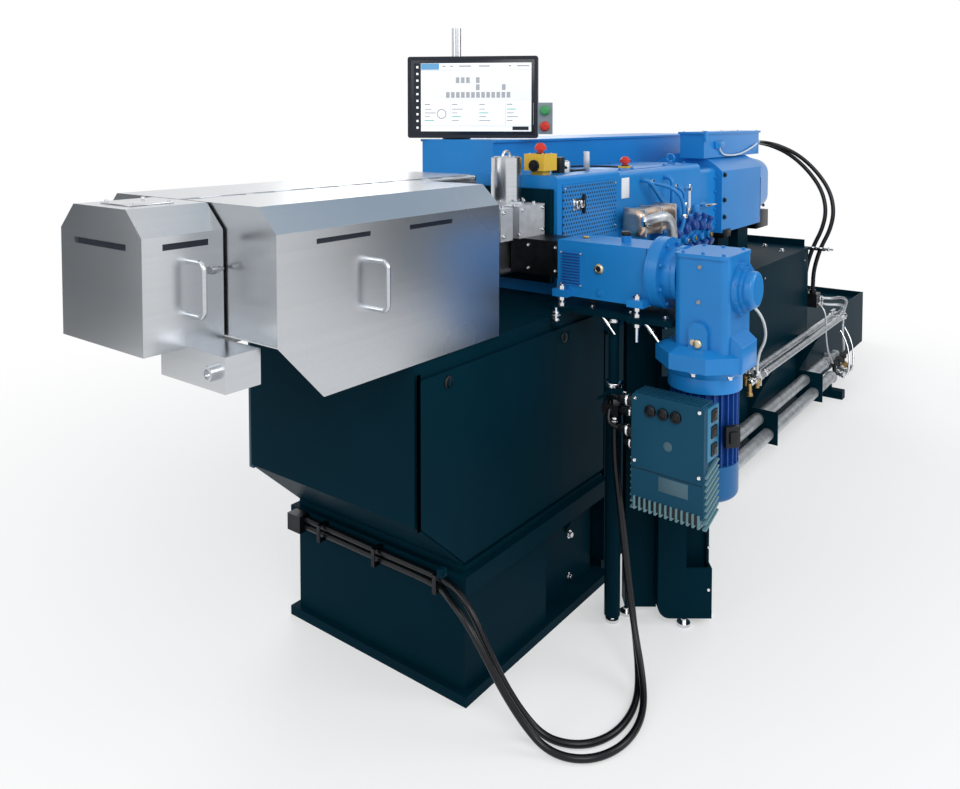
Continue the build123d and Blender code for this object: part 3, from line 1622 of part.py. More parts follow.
# Threaded rods through the housing's feet and the carriage's ears, with nuts against both
with BuildPart() as carriage_rods:
    carriage_top = carriage_height + carriage_thickness
    foot_top = feeder_housing_bottom + feeder_foot_height
    upper_nuts = (foot_top, feeder_housing_bottom - nut_height, carriage_top)
    # The pair over the cabinet ends at its top, and the outer pair hangs lower with a nut below the ears
    for foot_y, rod_start, nut_levels in (
        (foot_places[0], carriage_height, upper_nuts),
        (foot_places[1], rod_low, (*upper_nuts, carriage_height - nut_height)),
    ):
        with BuildSketch(Plane.XY.offset(rod_start)) as rod_outline:
            with Locations((-rod_x, foot_y), (rod_x, foot_y)):
                Circle(rod_radius)
        extrude(amount=rod_high - rod_start)
        for nut_level in nut_levels:
            with BuildSketch(Plane.XY.offset(nut_level)) as nut_outline:
                with Locations((-rod_x, foot_y), (rod_x, foot_y)):
                    RegularPolygon(nut_radius, 6)
            extrude(amount=nut_height)
    # Two short struts slant down from the carriage
    for strut_y in (strut_first_y, strut_second_y):
        strut_top = Vector(
            strut_x,
            strut_y + strut_reach * strut_nut_share,
            carriage_height + strut_drop * strut_nut_share,
        )
        strut_way = Vector(0, -strut_reach, -strut_drop) * (1 + strut_nut_share)
        with BuildSketch(Plane(origin=strut_top, z_dir=strut_way)) as strut_rod:
            Circle(strut_rod_radius)
        extrude(amount=strut_way.length)
        with BuildSketch(Plane(origin=strut_top, z_dir=strut_way)) as strut_body:
            Circle(strut_radius)
        extrude(amount=strut_way.length * strut_body_share)
    add(feeder_carriage.part, mode=Mode.SUBTRACT)
keep(carriage_rods.part, "carriage_rods")

# Telescopic guide post under the carriage, with its clamp and lever
with BuildPart() as guide_post:
    with BuildSketch(Plane.XY.offset(stand_bottom)) as guide_tube:
        with Locations((guide_x, guide_y)):
            Circle(guide_tube_radius)
    extrude(amount=carriage_height - guide_length - stand_bottom)
    with BuildSketch(Plane.XY.offset(carriage_height - guide_length)) as guide_outline:
        with Locations((guide_x, guide_y)):
            Circle(guide_radius)
    extrude(amount=guide_length)
    with BuildSketch(Plane.XY.offset(carriage_height - guide_length)) as clamp_outline:
        with Locations((guide_x, guide_y)):
            Circle(clamp_radius)
    extrude(amount=clamp_height)
    lever_plane = Plane(
        origin=(guide_x - guide_radius, guide_y, carriage_height - guide_length + clamp_height / 2),
        z_dir=(-1, 0, 0),
    )
    with BuildSketch(lever_plane) as lever:
        Circle(lever_radius)
    extrude(amount=clamp_radius - guide_radius + lever_length)
keep(guide_post.part, "guide_post")

# Galvanised pipes along the near side of the base
with BuildPart() as lower_pipes:
    for pipe in range(2):
        with BuildSketch(Plane.YZ.offset(lower_pipe_start)) as lower_section:
            pipe_y = lower_pipe_y + pipe * lower_pipe_shift
            with Locations((pipe_y, lower_pipe_level + pipe * lower_pipe_rise)):
                Circle(lower_pipe_radius)
        extrude(amount=lower_pipe_end - lower_pipe_start)
keep(lower_pipes.part, "lower_pipes")

with BuildPart() as upper_pipes:
    for pipe in range(2):
        with BuildSketch(Plane.YZ.offset(upper_pipe_start)) as upper_section:
            with Locations((upper_pipe_y + pipe * upper_pipe_gap, upper_pipe_level)):
                Circle(upper_pipe_radius)
        extrude(amount=upper_pipe_end - upper_pipe_start)
keep(upper_pipes.part, "upper_pipes")

# Brackets hold both pairs of pipes: a drilled web for the lower pair, a shelf for the upper one
with BuildPart() as pipe_brackets:
    web_low = lower_pipe_level - lower_pipe_radius - bracket_margin
    web_high = upper_pipe_level - upper_pipe_radius
    web_out = lower_pipe_y - lower_pipe_radius - bracket_margin
    web_knee = lower_pipe_level + lower_pipe_rise + lower_pipe_radius + bracket_margin
    for bracket_x in bracket_places:
        with BuildSketch(Plane.YZ.offset(bracket_x)) as bracket_web:
            with BuildLine():
                Polyline(
                    (-half_width, web_low),
                    (web_out, web_low),
                    (web_out, web_knee),
                    (-half_width - bracket_margin, web_knee),
                    (upper_pipe_y - upper_pipe_radius, web_high),
                    (-half_width, web_high),
                    close=True,
                )
            make_face()
            with Locations(
                (lower_pipe_y, lower_pipe_level),
                (lower_pipe_y + lower_pipe_shift, lower_pipe_level + lower_pipe_rise),
            ):
                Circle(lower_pipe_radius, mode=Mode.SUBTRACT)
        extrude(amount=bracket_thickness)
        if bracket_x > upper_pipe_start:
            shelf_depth = -upper_pipe_y + upper_pipe_radius - half_width
            with BuildSketch(Plane.XY.offset(web_high - bracket_thickness)) as bracket_shelf:
                with Locations((bracket_x + bracket_length / 2, -half_width - shelf_depth / 2)):
                    Rectangle(bracket_length, shelf_depth)
            extrude(amount=bracket_thickness)
    # A foot on the floor carries the lower pair near its rear end
    foot_web_top = lower_pipe_level - lower_pipe_radius / 2
    with BuildSketch() as floor_foot:
        with Locations((floor_foot_x + floor_foot_length / 2, -half_width - floor_foot_width / 2)):
            Rectangle(floor_foot_length, floor_foot_width)
    extrude(amount=floor_foot_height)
    with BuildSketch(Plane.YZ.offset(floor_foot_x)) as floor_web:
        with Locations((lower_pipe_y + lower_pipe_shift / 2, (floor_foot_height + foot_web_top) / 2)):
            Rectangle(lower_pipe_shift + 2 * lower_pipe_radius, foot_web_top - floor_foot_height)
    extrude(amount=bracket_thickness)
    with BuildSketch(Plane.YZ.offset(floor_foot_x)) as pipe_room:
        with Locations(
            (lower_pipe_y, lower_pipe_level),
            (lower_pipe_y + lower_pipe_shift, lower_pipe_level + lower_pipe_rise),
        ):
            Circle(lower_pipe_radius)
    extrude(amount=bracket_thickness, mode=Mode.SUBTRACT)
keep(pipe_brackets.part, "pipe_brackets")

# Ball valves and elbows at both ends of the upper pipes, and end caps on the lower pair
with BuildPart() as pipe_valves:
    for pipe in range(2):
        valve_y = upper_pipe_y + pipe * upper_pipe_gap
        for end, way in ((upper_pipe_start, -1), (upper_pipe_end, 1)):
            with BuildSketch(Plane.YZ.offset(end)) as valve_body:
                with Locations((valve_y, upper_pipe_level)):
                    RegularPolygon(valve_half, 6)
            extrude(amount=way * valve_length)
            stem_x = end + way * valve_length / 2
            with BuildSketch(Plane.XY.offset(upper_pipe_level)) as valve_stem:
                with Locations((stem_x, valve_y)):
                    Circle(valve_stem_radius)
            extrude(amount=valve_half + valve_stem_height)
            valve_lever_level = upper_pipe_level + valve_half + valve_stem_height
            with BuildSketch(Plane.XY.offset(valve_lever_level)) as valve_lever:
                with Locations((stem_x - way * valve_lever_length / 3, valve_y)):
                    Rectangle(valve_lever_length, valve_lever_width)
            extrude(amount=valve_lever_thickness)
            with BuildSketch(Plane.XY.offset(upper_pipe_level)) as valve_spout:
                with Locations((stem_x, valve_y)):
                    Circle(spout_radius)
            extrude(amount=-spout_length)
        cap_y = lower_pipe_y + pipe * lower_pipe_shift
        cap_z = lower_pipe_level + pipe * lower_pipe_rise
        for end, way in ((lower_pipe_start, -1), (lower_pipe_end, 1)):
            with BuildSketch(Plane.YZ.offset(end)) as pipe_cap:
                with Locations((cap_y, cap_z)):
                    Circle(lower_pipe_radius + pipe_cap_lip)
            extrude(amount=way * pipe_cap_length)
    # An elbow and a barb take the drain hose
    elbow_end = upper_pipe_start - valve_length
    with BuildSketch(Plane.YZ.offset(elbow_end)) as elbow:
        with Locations((upper_pipe_y, upper_pipe_level)):
            RegularPolygon(elbow_half, 6)
    extrude(amount=-elbow_length)
    with BuildSketch(Plane.XY.offset(upper_pipe_level)) as barb:
        with Locations((elbow_end - elbow_length / 2, upper_pipe_y)):
            Circle(spout_radius)
    extrude(amount=barb_height)
    # Nipples on the base's side and on the rear box's side
    with BuildSketch(Plane.XZ.offset(half_width)) as base_nipple:
        with Locations(base_nipple_place):
            Circle(nipple_radius)
    extrude(amount=nipple_length)
    with BuildSketch(Plane.XZ.offset(rear_box_near)) as rear_nipple:
        with Locations(rear_nipple_place):
            Circle(nipple_radius)
    extrude(amount=nipple_length)
    # A row of valve bodies on a tube behind the lower pair
    with BuildSketch(Plane.YZ.offset(lower_pipe_end)) as manifold_tube:
        with Locations((lower_pipe_y + lower_pipe_shift, lower_pipe_level + lower_pipe_rise)):
            Circle(manifold_tube_radius)
    extrude(amount=manifold_tube_length)
    for place in manifold_valve_places:
        with BuildSketch(Plane.YZ.offset(lower_pipe_end + place)) as row_valve:
            with Locations((lower_pipe_y + lower_pipe_shift, lower_pipe_level + lower_pipe_rise)):
                RegularPolygon(row_valve_half, 6)
        extrude(amount=row_valve_length)
keep(pipe_valves.part, "pipe_valves")

# Cable fittings: a gland box on the stand, staples on the pedestal's rim and a box where the cables end
rim_face = pedestal_front - rim_lip
with BuildPart() as cable_fittings:
    with BuildSketch(Plane.XY.offset(gland_box_bottom)) as gland_box:
        with Locations((gland_box_x, gland_box_y)):
            Rectangle(gland_box_length, gland_box_width)
    extrude(amount=gland_box_height)
    with BuildSketch(Plane.XY.offset(gland_box_bottom)) as cable_glands:
        with Locations(feeder_gland_a, feeder_gland_b):
            Circle(cable_gland_radius)
    extrude(amount=-cable_gland_length)
    # An arm holds the box to the guide post's tube
    with BuildSketch(Plane.XY.offset(gland_box_bottom)) as gland_arm:
        with Locations(((gland_box_x + guide_x) / 2, gland_arm_y)):
            Rectangle(guide_x - gland_box_x, gland_arm_width)
        with Locations((guide_x, guide_y)):
            Circle(guide_tube_radius, mode=Mode.SUBTRACT)
    extrude(amount=gland_arm_height)
    staple_low = staple_level - staple_height / 2
    for staple in range(staple_count):
        staple_y = staple_first + staple * staple_spacing
        with BuildSketch(Plane.XZ.offset(-staple_y)) as staple_outline:
            with Locations((rim_face - staple_reach / 2, staple_level)):
                Rectangle(staple_reach, staple_height)
            with Locations((rim_face - staple_reach / 2 + sheet, staple_level)):
                Rectangle(staple_reach, staple_height - 2 * sheet, mode=Mode.SUBTRACT)
        extrude(amount=staple_width)
    with BuildSketch(Plane.XZ.offset(-end_box_y)) as end_box:
        with Locations((rim_face - staple_reach / 2, staple_level)):
            Rectangle(staple_reach, staple_height)
    extrude(amount=-end_box_length)
keep(cable_fittings.part, "cable_fittings")

# Hose fittings: a gland box on the base's rear and a bored clamp plate at the deck
with BuildPart() as hose_fittings:
    with BuildSketch(Plane.XY.offset(hose_box_bottom)) as hose_box:
        with Locations((base_end + hose_box_length / 2, hose_box_y)):
            Rectangle(hose_box_length, hose_box_width)
    extrude(amount=hose_box_height)
    with BuildSketch(Plane.XY.offset(hose_box_bottom + hose_box_height)) as hose_glands:
        with Locations((base_end, 0)):
            with Locations(hose_gland_a, hose_gland_b):
                Circle(hose_gland_radius)
    extrude(amount=hose_gland_length)
    with BuildSketch(Plane.XY.offset(clamp_plate_level)) as clamp_plate:
        clamp_plate_x = base_end + deck_lip + clamp_plate_length / 2
        with Locations((clamp_plate_x, clamp_plate_y)):
            Rectangle(clamp_plate_length, clamp_plate_width)
        with Locations((base_end, 0)):
            with Locations(clamp_hole_a, clamp_hole_b):
                Circle(clamp_hole_radius, mode=Mode.SUBTRACT)
    extrude(amount=clamp_plate_thickness)
keep(hose_fittings.part, "hose_fittings")


def cord(points, diameter, name):
    """A cable or hose: straight runs joined by the largest arcs that the runs allow."""
    corners = [Vector(*point) for point in points]
    radii = []
    for before, here, after in zip(corners, corners[1:], corners[2:]):
        turn = radians((here - before).get_angle(after - here))
        shorter = min((here - before).length, (after - here).length)
        radii.append(arc_share * shorter / tan(turn / 2))
    with BuildPart() as tube:
        with BuildLine() as route:
            run = FilletPolyline(*corners, radius=radii)
        with BuildSketch(Plane(origin=corners[0], z_dir=corners[1] - corners[0])) as bore:
            Circle(diameter / 2)
        sweep(path=route.line)
    exact = pi * diameter * diameter / 4 * run.length
    print(name, "length", round(run.length), "volume share", round(tube.part.volume / exact, 4))
    print("radii", [round(radius) for radius in radii])
    keep(tube.part, name)


cord(feeder_cable_a, cable_diameter, "feeder_cable_inner")
cord(feeder_cable_b, cable_diameter, "feeder_cable_outer")
cord(rear_hose_a, hose_diameter, "rear_hose_near")
cord(rear_hose_b, hose_diameter, "rear_hose_far")
cord(drain_route, drain_diameter, "drain_hose")
cord(return_route, drain_diameter, "return_hose")
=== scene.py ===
import json
import math

import bpy
from mathutils import Matrix, Vector

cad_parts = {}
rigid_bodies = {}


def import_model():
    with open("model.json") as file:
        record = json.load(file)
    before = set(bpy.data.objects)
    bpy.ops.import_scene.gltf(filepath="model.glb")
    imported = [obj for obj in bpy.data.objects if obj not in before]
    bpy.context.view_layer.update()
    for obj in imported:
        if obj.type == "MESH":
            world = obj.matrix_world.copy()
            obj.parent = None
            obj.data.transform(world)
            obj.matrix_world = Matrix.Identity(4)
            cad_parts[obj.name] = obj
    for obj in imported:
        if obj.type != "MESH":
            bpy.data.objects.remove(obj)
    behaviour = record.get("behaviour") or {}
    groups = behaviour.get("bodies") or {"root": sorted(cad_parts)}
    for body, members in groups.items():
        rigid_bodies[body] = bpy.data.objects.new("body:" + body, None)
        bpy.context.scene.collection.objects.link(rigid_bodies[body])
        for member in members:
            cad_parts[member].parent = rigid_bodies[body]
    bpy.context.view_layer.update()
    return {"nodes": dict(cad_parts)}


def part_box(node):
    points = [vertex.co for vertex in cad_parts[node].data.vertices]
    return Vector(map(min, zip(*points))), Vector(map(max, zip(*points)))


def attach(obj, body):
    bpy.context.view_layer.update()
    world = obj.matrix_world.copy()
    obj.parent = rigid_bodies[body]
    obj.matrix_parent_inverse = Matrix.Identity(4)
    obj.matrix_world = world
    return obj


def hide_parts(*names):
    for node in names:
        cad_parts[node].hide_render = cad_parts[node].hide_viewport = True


bl_info = {
    "name": "Plastic extruder",
    "version": (1, 0, 0),
    "blender": (4, 5, 0),
    "location": "View3D > Sidebar > Extruder",
    "description": "Dresses the plastic extruder's CAD model with its finishes and small parts",
    "category": "Object",
}

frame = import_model()


# Sizes and colours that a user would change

class PaintSettings(bpy.types.PropertyGroup):
    """Colours of the machine's finishes."""

    petrol: bpy.props.FloatVectorProperty(
        name="Petrol powder coat", description="Cabinets, base frame and stand",
        subtype="COLOR", default=(0.0012, 0.0172, 0.0285),
    )
    petrol_light: bpy.props.FloatVectorProperty(
        name="Inverter coat", description="Inverter box and its fins",
        subtype="COLOR", default=(0.010, 0.066, 0.118),
    )
    enamel: bpy.props.FloatVectorProperty(
        name="Blue enamel", description="Drive train, feeder and cable duct",
        subtype="COLOR", default=(0.010, 0.205, 0.56),
    )
    motor_blue: bpy.props.FloatVectorProperty(
        name="Motor blue", description="Finned body of the feeder's motor",
        subtype="COLOR", default=(0.008, 0.058, 0.27),
    )
    sheet_metal: bpy.props.FloatVectorProperty(
        name="Stainless sheet", description="Hoods and covers",
        subtype="COLOR", default=(0.56, 0.58, 0.605),
    )


class StageSettings(bpy.types.PropertyGroup):
    """Camera and light."""

    lens: bpy.props.FloatProperty(name="Lens", description="Focal length in millimetres", default=31.3)
    eye_height: bpy.props.FloatProperty(
        name="Eye height", description="Camera above the floor", default=1.65, subtype="DISTANCE",
        unit="LENGTH",
    )
    sky: bpy.props.FloatProperty(name="Sky light", description="Strength of the even light", default=0.60)


class DetailSettings(bpy.types.PropertyGroup):
    """Sizes of the small parts."""

    edge: bpy.props.FloatProperty(
        name="Edge", description="Width of the usual rounded edge",
        default=0.0015, subtype="DISTANCE", unit="LENGTH",
    )


# Materials

def new_material(name):
    """A node material with its output, shader and object coordinates in place."""
    material = bpy.data.materials.new(name)
    material.use_nodes = True
    tree = material.node_tree
    tree.nodes.clear()
    output = tree.nodes.new("ShaderNodeOutputMaterial")
    shader = tree.nodes.new("ShaderNodeBsdfPrincipled")
    tree.links.new(shader.outputs["BSDF"], output.inputs["Surface"])
    coordinates = tree.nodes.new("ShaderNodeTexCoord")
    return material, tree, shader, coordinates


def stretched(tree, coordinates, scale):
    """Object coordinates stretched along the axes."""
    mapping = tree.nodes.new("ShaderNodeMapping")
    mapping.inputs["Scale"].default_value = scale
    tree.links.new(coordinates.outputs["Object"], mapping.inputs["Vector"])
    return mapping.outputs["Vector"]


def noise(tree, vector, scale, detail=3.0, roughness=0.5):
    """A noise texture's factor."""
    texture = tree.nodes.new("ShaderNodeTexNoise")
    texture.inputs["Scale"].default_value = scale
    texture.inputs["Detail"].default_value = detail
    texture.inputs["Roughness"].default_value = roughness
    tree.links.new(vector, texture.inputs["Vector"])
    return texture.outputs["Fac"]


def ramp(tree, factor, stops):
    """A colour ramp through the given stops."""
    node = tree.nodes.new("ShaderNodeValToRGB")
    elements = node.color_ramp.elements
    while len(elements) < len(stops):
        elements.new(0.5)
    for element, (place, colour) in zip(elements, stops):
        element.position = place
        element.color = (*colour, 1.0)
    tree.links.new(factor, node.inputs["Fac"])
    return node.outputs["Color"]


def spread(tree, factor, low, high):
    """The factor spread over a range."""
    node = tree.nodes.new("ShaderNodeMapRange")
    node.inputs["To Min"].default_value = low
    node.inputs["To Max"].default_value = high
    tree.links.new(factor, node.inputs["Value"])
    return node.outputs["Result"]


def bump(tree, shader, height, strength, distance):
    """Surface relief from a height."""
    node = tree.nodes.new("ShaderNodeBump")
    node.inputs["Strength"].default_value = strength
    node.inputs["Distance"].default_value = distance
    tree.links.new(height, node.inputs["Height"])
    tree.links.new(node.outputs["Normal"], shader.inputs["Normal"])
    return node


def seen(tree):
    """1 for rays of the camera, of mirroring and of looking through, 0 for light on the object."""
    path = tree.nodes.new("ShaderNodeLightPath")
    either = tree.nodes.new("ShaderNodeMath")
    either.operation = "MAXIMUM"
    tree.links.new(path.outputs["Is Camera Ray"], either.inputs[0])
    tree.links.new(path.outputs["Is Transmission Ray"], either.inputs[1])
    last = tree.nodes.new("ShaderNodeMath")
    last.operation = "MAXIMUM"
    tree.links.new(either.outputs[0], last.inputs[0])
    tree.links.new(path.outputs["Is Glossy Ray"], last.inputs[1])
    return last.outputs[0]


def shade(colour, factor):
    """A colour made darker or lighter."""
    return tuple(channel * factor for channel in colour)


def paint_material(name, colour, rough=0.42, grain=0.10, relief=0.12, scale=420.0, shine=0.25):
    """Powder coat or enamel: fine orange peel and slow changes of tone."""
    material, tree, shader, coordinates = new_material(name)
    vector = coordinates.outputs["Object"]
    slow = noise(tree, vector, 2.2, 2.0)
    tone = ramp(tree, slow, [(0.3, shade(colour, 1 - grain)), (0.7, shade(colour, 1 + grain))])
    tree.links.new(tone, shader.inputs["Base Color"])
    fine = noise(tree, vector, scale, 2.0)
    tree.links.new(spread(tree, slow, rough - 0.05, rough + 0.05), shader.inputs["Roughness"])
    shader.inputs["Specular IOR Level"].default_value = shine
    bump(tree, shader, fine, relief, 0.0006)
    return material


def brushed_material(name, colour, along, rough=0.30, relief=0.05, variation=0.07):
    """Brushed sheet: fine lines along one axis and a soft mottle."""
    material, tree, shader, coordinates = new_material(name)
    lines = noise(tree, stretched(tree, coordinates, along), 1.0, 1.5, 0.5)
    slow = noise(tree, coordinates.outputs["Object"], 1.3, 3.0)
    mix = tree.nodes.new("ShaderNodeMix")
    mix.inputs[0].default_value = 0.5
    tree.links.new(lines, mix.inputs[2])
    tree.links.new(slow, mix.inputs[3])
    tone = ramp(tree, mix.outputs[0], [
        (0.3, shade(colour, 1 - variation)), (0.7, shade(colour, 1 + variation)),
    ])
    tree.links.new(tone, shader.inputs["Base Color"])
    shader.inputs["Metallic"].default_value = 1.0
    tree.links.new(spread(tree, slow, rough - 0.06, rough + 0.08), shader.inputs["Roughness"])
    bump(tree, shader, noise(tree, coordinates.outputs["Object"], 5.0, 1.0), relief, 0.004)
    return material


def metal_material(name, colour, rough=0.25, variation=0.10, scale=60.0):
    """Plain bright or dark metal with light wear."""
    material, tree, shader, coordinates = new_material(name)
    wear = noise(tree, coordinates.outputs["Object"], scale, 4.0)
    tone = ramp(tree, wear, [(0.3, shade(colour, 1 - variation)), (0.7, shade(colour, 1 + variation))])
    tree.links.new(tone, shader.inputs["Base Color"])
    shader.inputs["Metallic"].default_value = 1.0
    tree.links.new(spread(tree, wear, rough - 0.05, rough + 0.08), shader.inputs["Roughness"])
    bump(tree, shader, wear, 0.05, 0.0004)
    return material


def plastic_material(name, colour, rough=0.4, scale=300.0):
    """Moulded plastic or rubber with a fine grain."""
    material, tree, shader, coordinates = new_material(name)
    vector = coordinates.outputs["Object"]
    slow = noise(tree, vector, 9.0, 2.0)
    tone = ramp(tree, slow, [(0.3, shade(colour, 0.93)), (0.7, shade(colour, 1.07))])
    tree.links.new(tone, shader.inputs["Base Color"])
    tree.links.new(spread(tree, slow, rough - 0.04, rough + 0.05), shader.inputs["Roughness"])
    shader.inputs["Specular IOR Level"].default_value = 0.3
    bump(tree, shader, noise(tree, vector, scale, 2.0), 0.08, 0.0005)
    return material


def dotted_material(name, colour, pitch, rise, radius):
    """Enamelled sheet with staggered rows of round holes drawn as dark dots, a painted shade of the
    hollow behind them.
    """
    material, tree, shader, coordinates = new_material(name)
    separate = tree.nodes.new("ShaderNodeSeparateXYZ")
    tree.links.new(coordinates.outputs["Object"], separate.inputs["Vector"])
    geometry = tree.nodes.new("ShaderNodeNewGeometry")
    facing = tree.nodes.new("ShaderNodeSeparateXYZ")
    tree.links.new(geometry.outputs["Normal"], facing.inputs["Vector"])

    def calc(kind, first, second=None):
        node = tree.nodes.new("ShaderNodeMath")
        node.operation = kind
        for socket, value in zip(node.inputs, (first, second)):
            if isinstance(value, (int, float)):
                socket.default_value = value
            elif value is not None:
                tree.links.new(value, socket)
        return node.outputs[0]

    def cell(value, size):
        wrapped = calc("SUBTRACT", value, calc("FLOOR", value))
        return calc("MULTIPLY", calc("SUBTRACT", wrapped, 0.5), size)

    # The row runs along X on the sides and along Y on the end
    along_side = calc("GREATER_THAN", calc("ABSOLUTE", facing.outputs["Y"]), 0.7)
    across = calc("ADD", calc("MULTIPLY", separate.outputs["X"], along_side),
                  calc("MULTIPLY", separate.outputs["Y"], calc("SUBTRACT", 1.0, along_side)))
    upright = calc("LESS_THAN", calc("ABSOLUTE", facing.outputs["Z"]), 0.3)
    row = calc("DIVIDE", separate.outputs["Z"], rise)
    shift = calc("MULTIPLY", calc("FLOORED_MODULO", calc("FLOOR", row), 2.0), 0.5)
    sideways = cell(calc("ADD", calc("DIVIDE", across, pitch), shift), pitch)
    upwards = cell(row, rise)
    distance = calc(
        "SQRT", calc("ADD", calc("MULTIPLY", sideways, sideways), calc("MULTIPLY", upwards, upwards)),
    )
    hole = calc("MULTIPLY", calc("LESS_THAN", distance, radius), upright)
    slow = noise(tree, coordinates.outputs["Object"], 3.0, 2.0)
    tone = ramp(tree, slow, [(0.3, shade(colour, 0.92)), (0.7, shade(colour, 1.08))])
    mix = tree.nodes.new("ShaderNodeMix")
    mix.data_type = "RGBA"
    tree.links.new(hole, mix.inputs[0])
    tree.links.new(tone, mix.inputs[6])
    # The dark colour of the holes is painted shade of the guard's hollow inside
    mix.inputs[7].default_value = (0.004, 0.010, 0.022, 1.0)
    tree.links.new(mix.outputs[2], shader.inputs["Base Color"])
    tree.links.new(spread(tree, hole, 0.38, 0.8), shader.inputs["Roughness"])
    return material


def display_material(name, colour):
    """A lit display: faint pixel rows over an even glow."""
    material, tree, shader, coordinates = new_material(name)
    rows = noise(tree, stretched(tree, coordinates, (4.0, 4.0, 900.0)), 1.0, 1.0)
    tone = ramp(tree, rows, [(0.3, shade(colour, 0.97)), (0.7, shade(colour, 1.03))])
    tree.links.new(tone, shader.inputs["Base Color"])
    tree.links.new(tone, shader.inputs["Emission Color"])
    shader.inputs["Emission Strength"].default_value = 0.45
    shader.inputs["Roughness"].default_value = 0.25
    return material


def make_materials(paint):
    """Every finish of the machine by its name."""
    return {
        "petrol": paint_material("petrol powder coat", paint.petrol, 0.40, 0.12, 0.20, 500.0, 0.015),
        "inverter": paint_material("inverter coat", paint.petrol_light, 0.42, 0.10, 0.16, 500.0, 0.08),
        "enamel": paint_material("blue enamel", paint.enamel, 0.30, 0.08, 0.08, 160.0, 0.40),
        "casting": paint_material("blue casting", paint.enamel, 0.32, 0.10, 0.22, 120.0, 0.40),
        "motor": paint_material("motor blue", paint.motor_blue, 0.36, 0.12, 0.18, 300.0, 0.30),
        # Darker copy of the enamel for the feeder motor's cowl: a painted shade
        "enamel_painted_shade": paint_material(
            "blue enamel with painted shade", shade(paint.enamel, 0.5), 0.32, 0.08, 0.08, 160.0, 0.30,
        ),
        "guard": dotted_material("perforated blue guard", paint.enamel, 0.018, 0.015, 0.0046),
        "sheet_side": brushed_material(
            "brushed sheet upright", paint.sheet_metal, (1.2, 1.2, 90.0), 0.25, 0.02, 0.03,
        ),
        "sheet_bright": brushed_material(
            "bright stainless", paint.sheet_metal, (4.0, 4.0, 200.0), 0.20, 0.03,
        ),
        "blasted": metal_material("blasted steel", (0.56, 0.58, 0.61), 0.58, 0.08, 40.0),
        "cast_steel": metal_material("dull steel", (0.36, 0.37, 0.39), 0.42, 0.12, 30.0),
        "chrome": metal_material("bright metal", (0.72, 0.73, 0.75), 0.16, 0.06, 40.0),
        "galvanised": metal_material("galvanised steel", (0.52, 0.545, 0.57), 0.48, 0.18, 26.0),
        "brass": metal_material("brass", (0.46, 0.31, 0.13), 0.32, 0.12, 50.0),
        "copper": metal_material("soldered copper", (0.60, 0.47, 0.38), 0.32, 0.20, 16.0),
        "black": metal_material("black steel", (0.030, 0.032, 0.036), 0.38, 0.25, 22.0),
        "rubber": plastic_material("black rubber", (0.0030, 0.0040, 0.0055), 0.28),
        # Black plastic, also used as painted shade behind the inverter's lower fins
        "black_plastic_and_shade": plastic_material("black plastic and painted shade", (0.007, 0.009, 0.011), 0.38),
        # Dark plastic of the screen, also used as painted shade behind the hood and cover slots
        "dark_screen_and_shade": plastic_material("screen frame and painted shade", (0.012, 0.016, 0.026), 0.25),
        "yellow": plastic_material("yellow plastic", (0.72, 0.45, 0.05), 0.35),
        "red": plastic_material("red plastic", (0.62, 0.035, 0.02), 0.30),
        "green": plastic_material("green plastic", (0.05, 0.30, 0.10), 0.30),
        "grey_plastic": plastic_material("grey plastic", (0.22, 0.27, 0.30), 0.40),
        "hose": plastic_material("milky tube", (0.62, 0.66, 0.70), 0.30),
        "white_plate": plastic_material("bare white plate", (0.74, 0.77, 0.80), 0.35),
        "grey_plate": plastic_material("bare grey plate", (0.060, 0.125, 0.160), 0.40),
        # Lighter copy of the petrol coat for the cabinet's fold: a painted highlight
        "petrol_fold_highlight": paint_material("petrol fold with painted highlight", shade(paint.petrol, 2.4), 0.30, 0.10, 0.10, 500.0),
        # Paler copies of the inverter coat for its side panels and fins: a painted highlight
        "inverter_painted_highlight": paint_material(
            "inverter coat with painted highlight", shade(paint.petrol_light, 2.6), 0.34, 0.10, 0.12, 500.0, 0.35,
        ),
        "inverter_fin": paint_material(
            "inverter fins with painted highlight", (0.12, 0.24, 0.28), 0.34, 0.10, 0.12, 500.0, 0.35,
        ),
        "brass_pale": metal_material("pale brass", (0.62, 0.55, 0.40), 0.32, 0.12, 50.0),
        "display": display_material("display", (0.80, 0.82, 0.82)),
        "display_grey": display_material("display marks", (0.30, 0.31, 0.34)),
        "display_blue": display_material("display tab", (0.10, 0.28, 0.48)),
        "display_pale": display_material("display field", (0.70, 0.71, 0.70)),
        "display_green": display_material("display bars", (0.12, 0.38, 0.36)),
    }


materials = {}


# Modelling helpers

def deselect():
    """Nothing stays selected."""
    for thing in bpy.context.view_layer.objects:
        thing.select_set(False)


def take(piece):
    """Make one piece selected and active."""
    deselect()
    piece.select_set(True)
    bpy.context.view_layer.objects.active = piece


def settle(piece):
    """Put the piece's place, turn and scale into its mesh."""
    take(piece)
    bpy.ops.object.transform_apply(location=True, rotation=True, scale=True)


def soften(piece, width, segments=2, angle=35.0):
    """Round the edges and smooth the shading."""
    take(piece)
    modifier = piece.modifiers.new("edges", "BEVEL")
    modifier.width = width
    modifier.segments = segments
    modifier.limit_method = "ANGLE"
    modifier.angle_limit = math.radians(angle)
    modifier.use_clamp_overlap = True
    bpy.ops.object.modifier_apply(modifier=modifier.name)
    bpy.ops.object.shade_smooth_by_angle(angle=math.radians(40))


def dress(piece, name, finish, body="machine"):
    """Name a piece, give it its finish and let it ride on its body."""
    piece.name = name
    piece.data.name = name
    piece.data.materials.clear()
    piece.data.materials.append(materials[finish])
    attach(piece, body)
    return piece


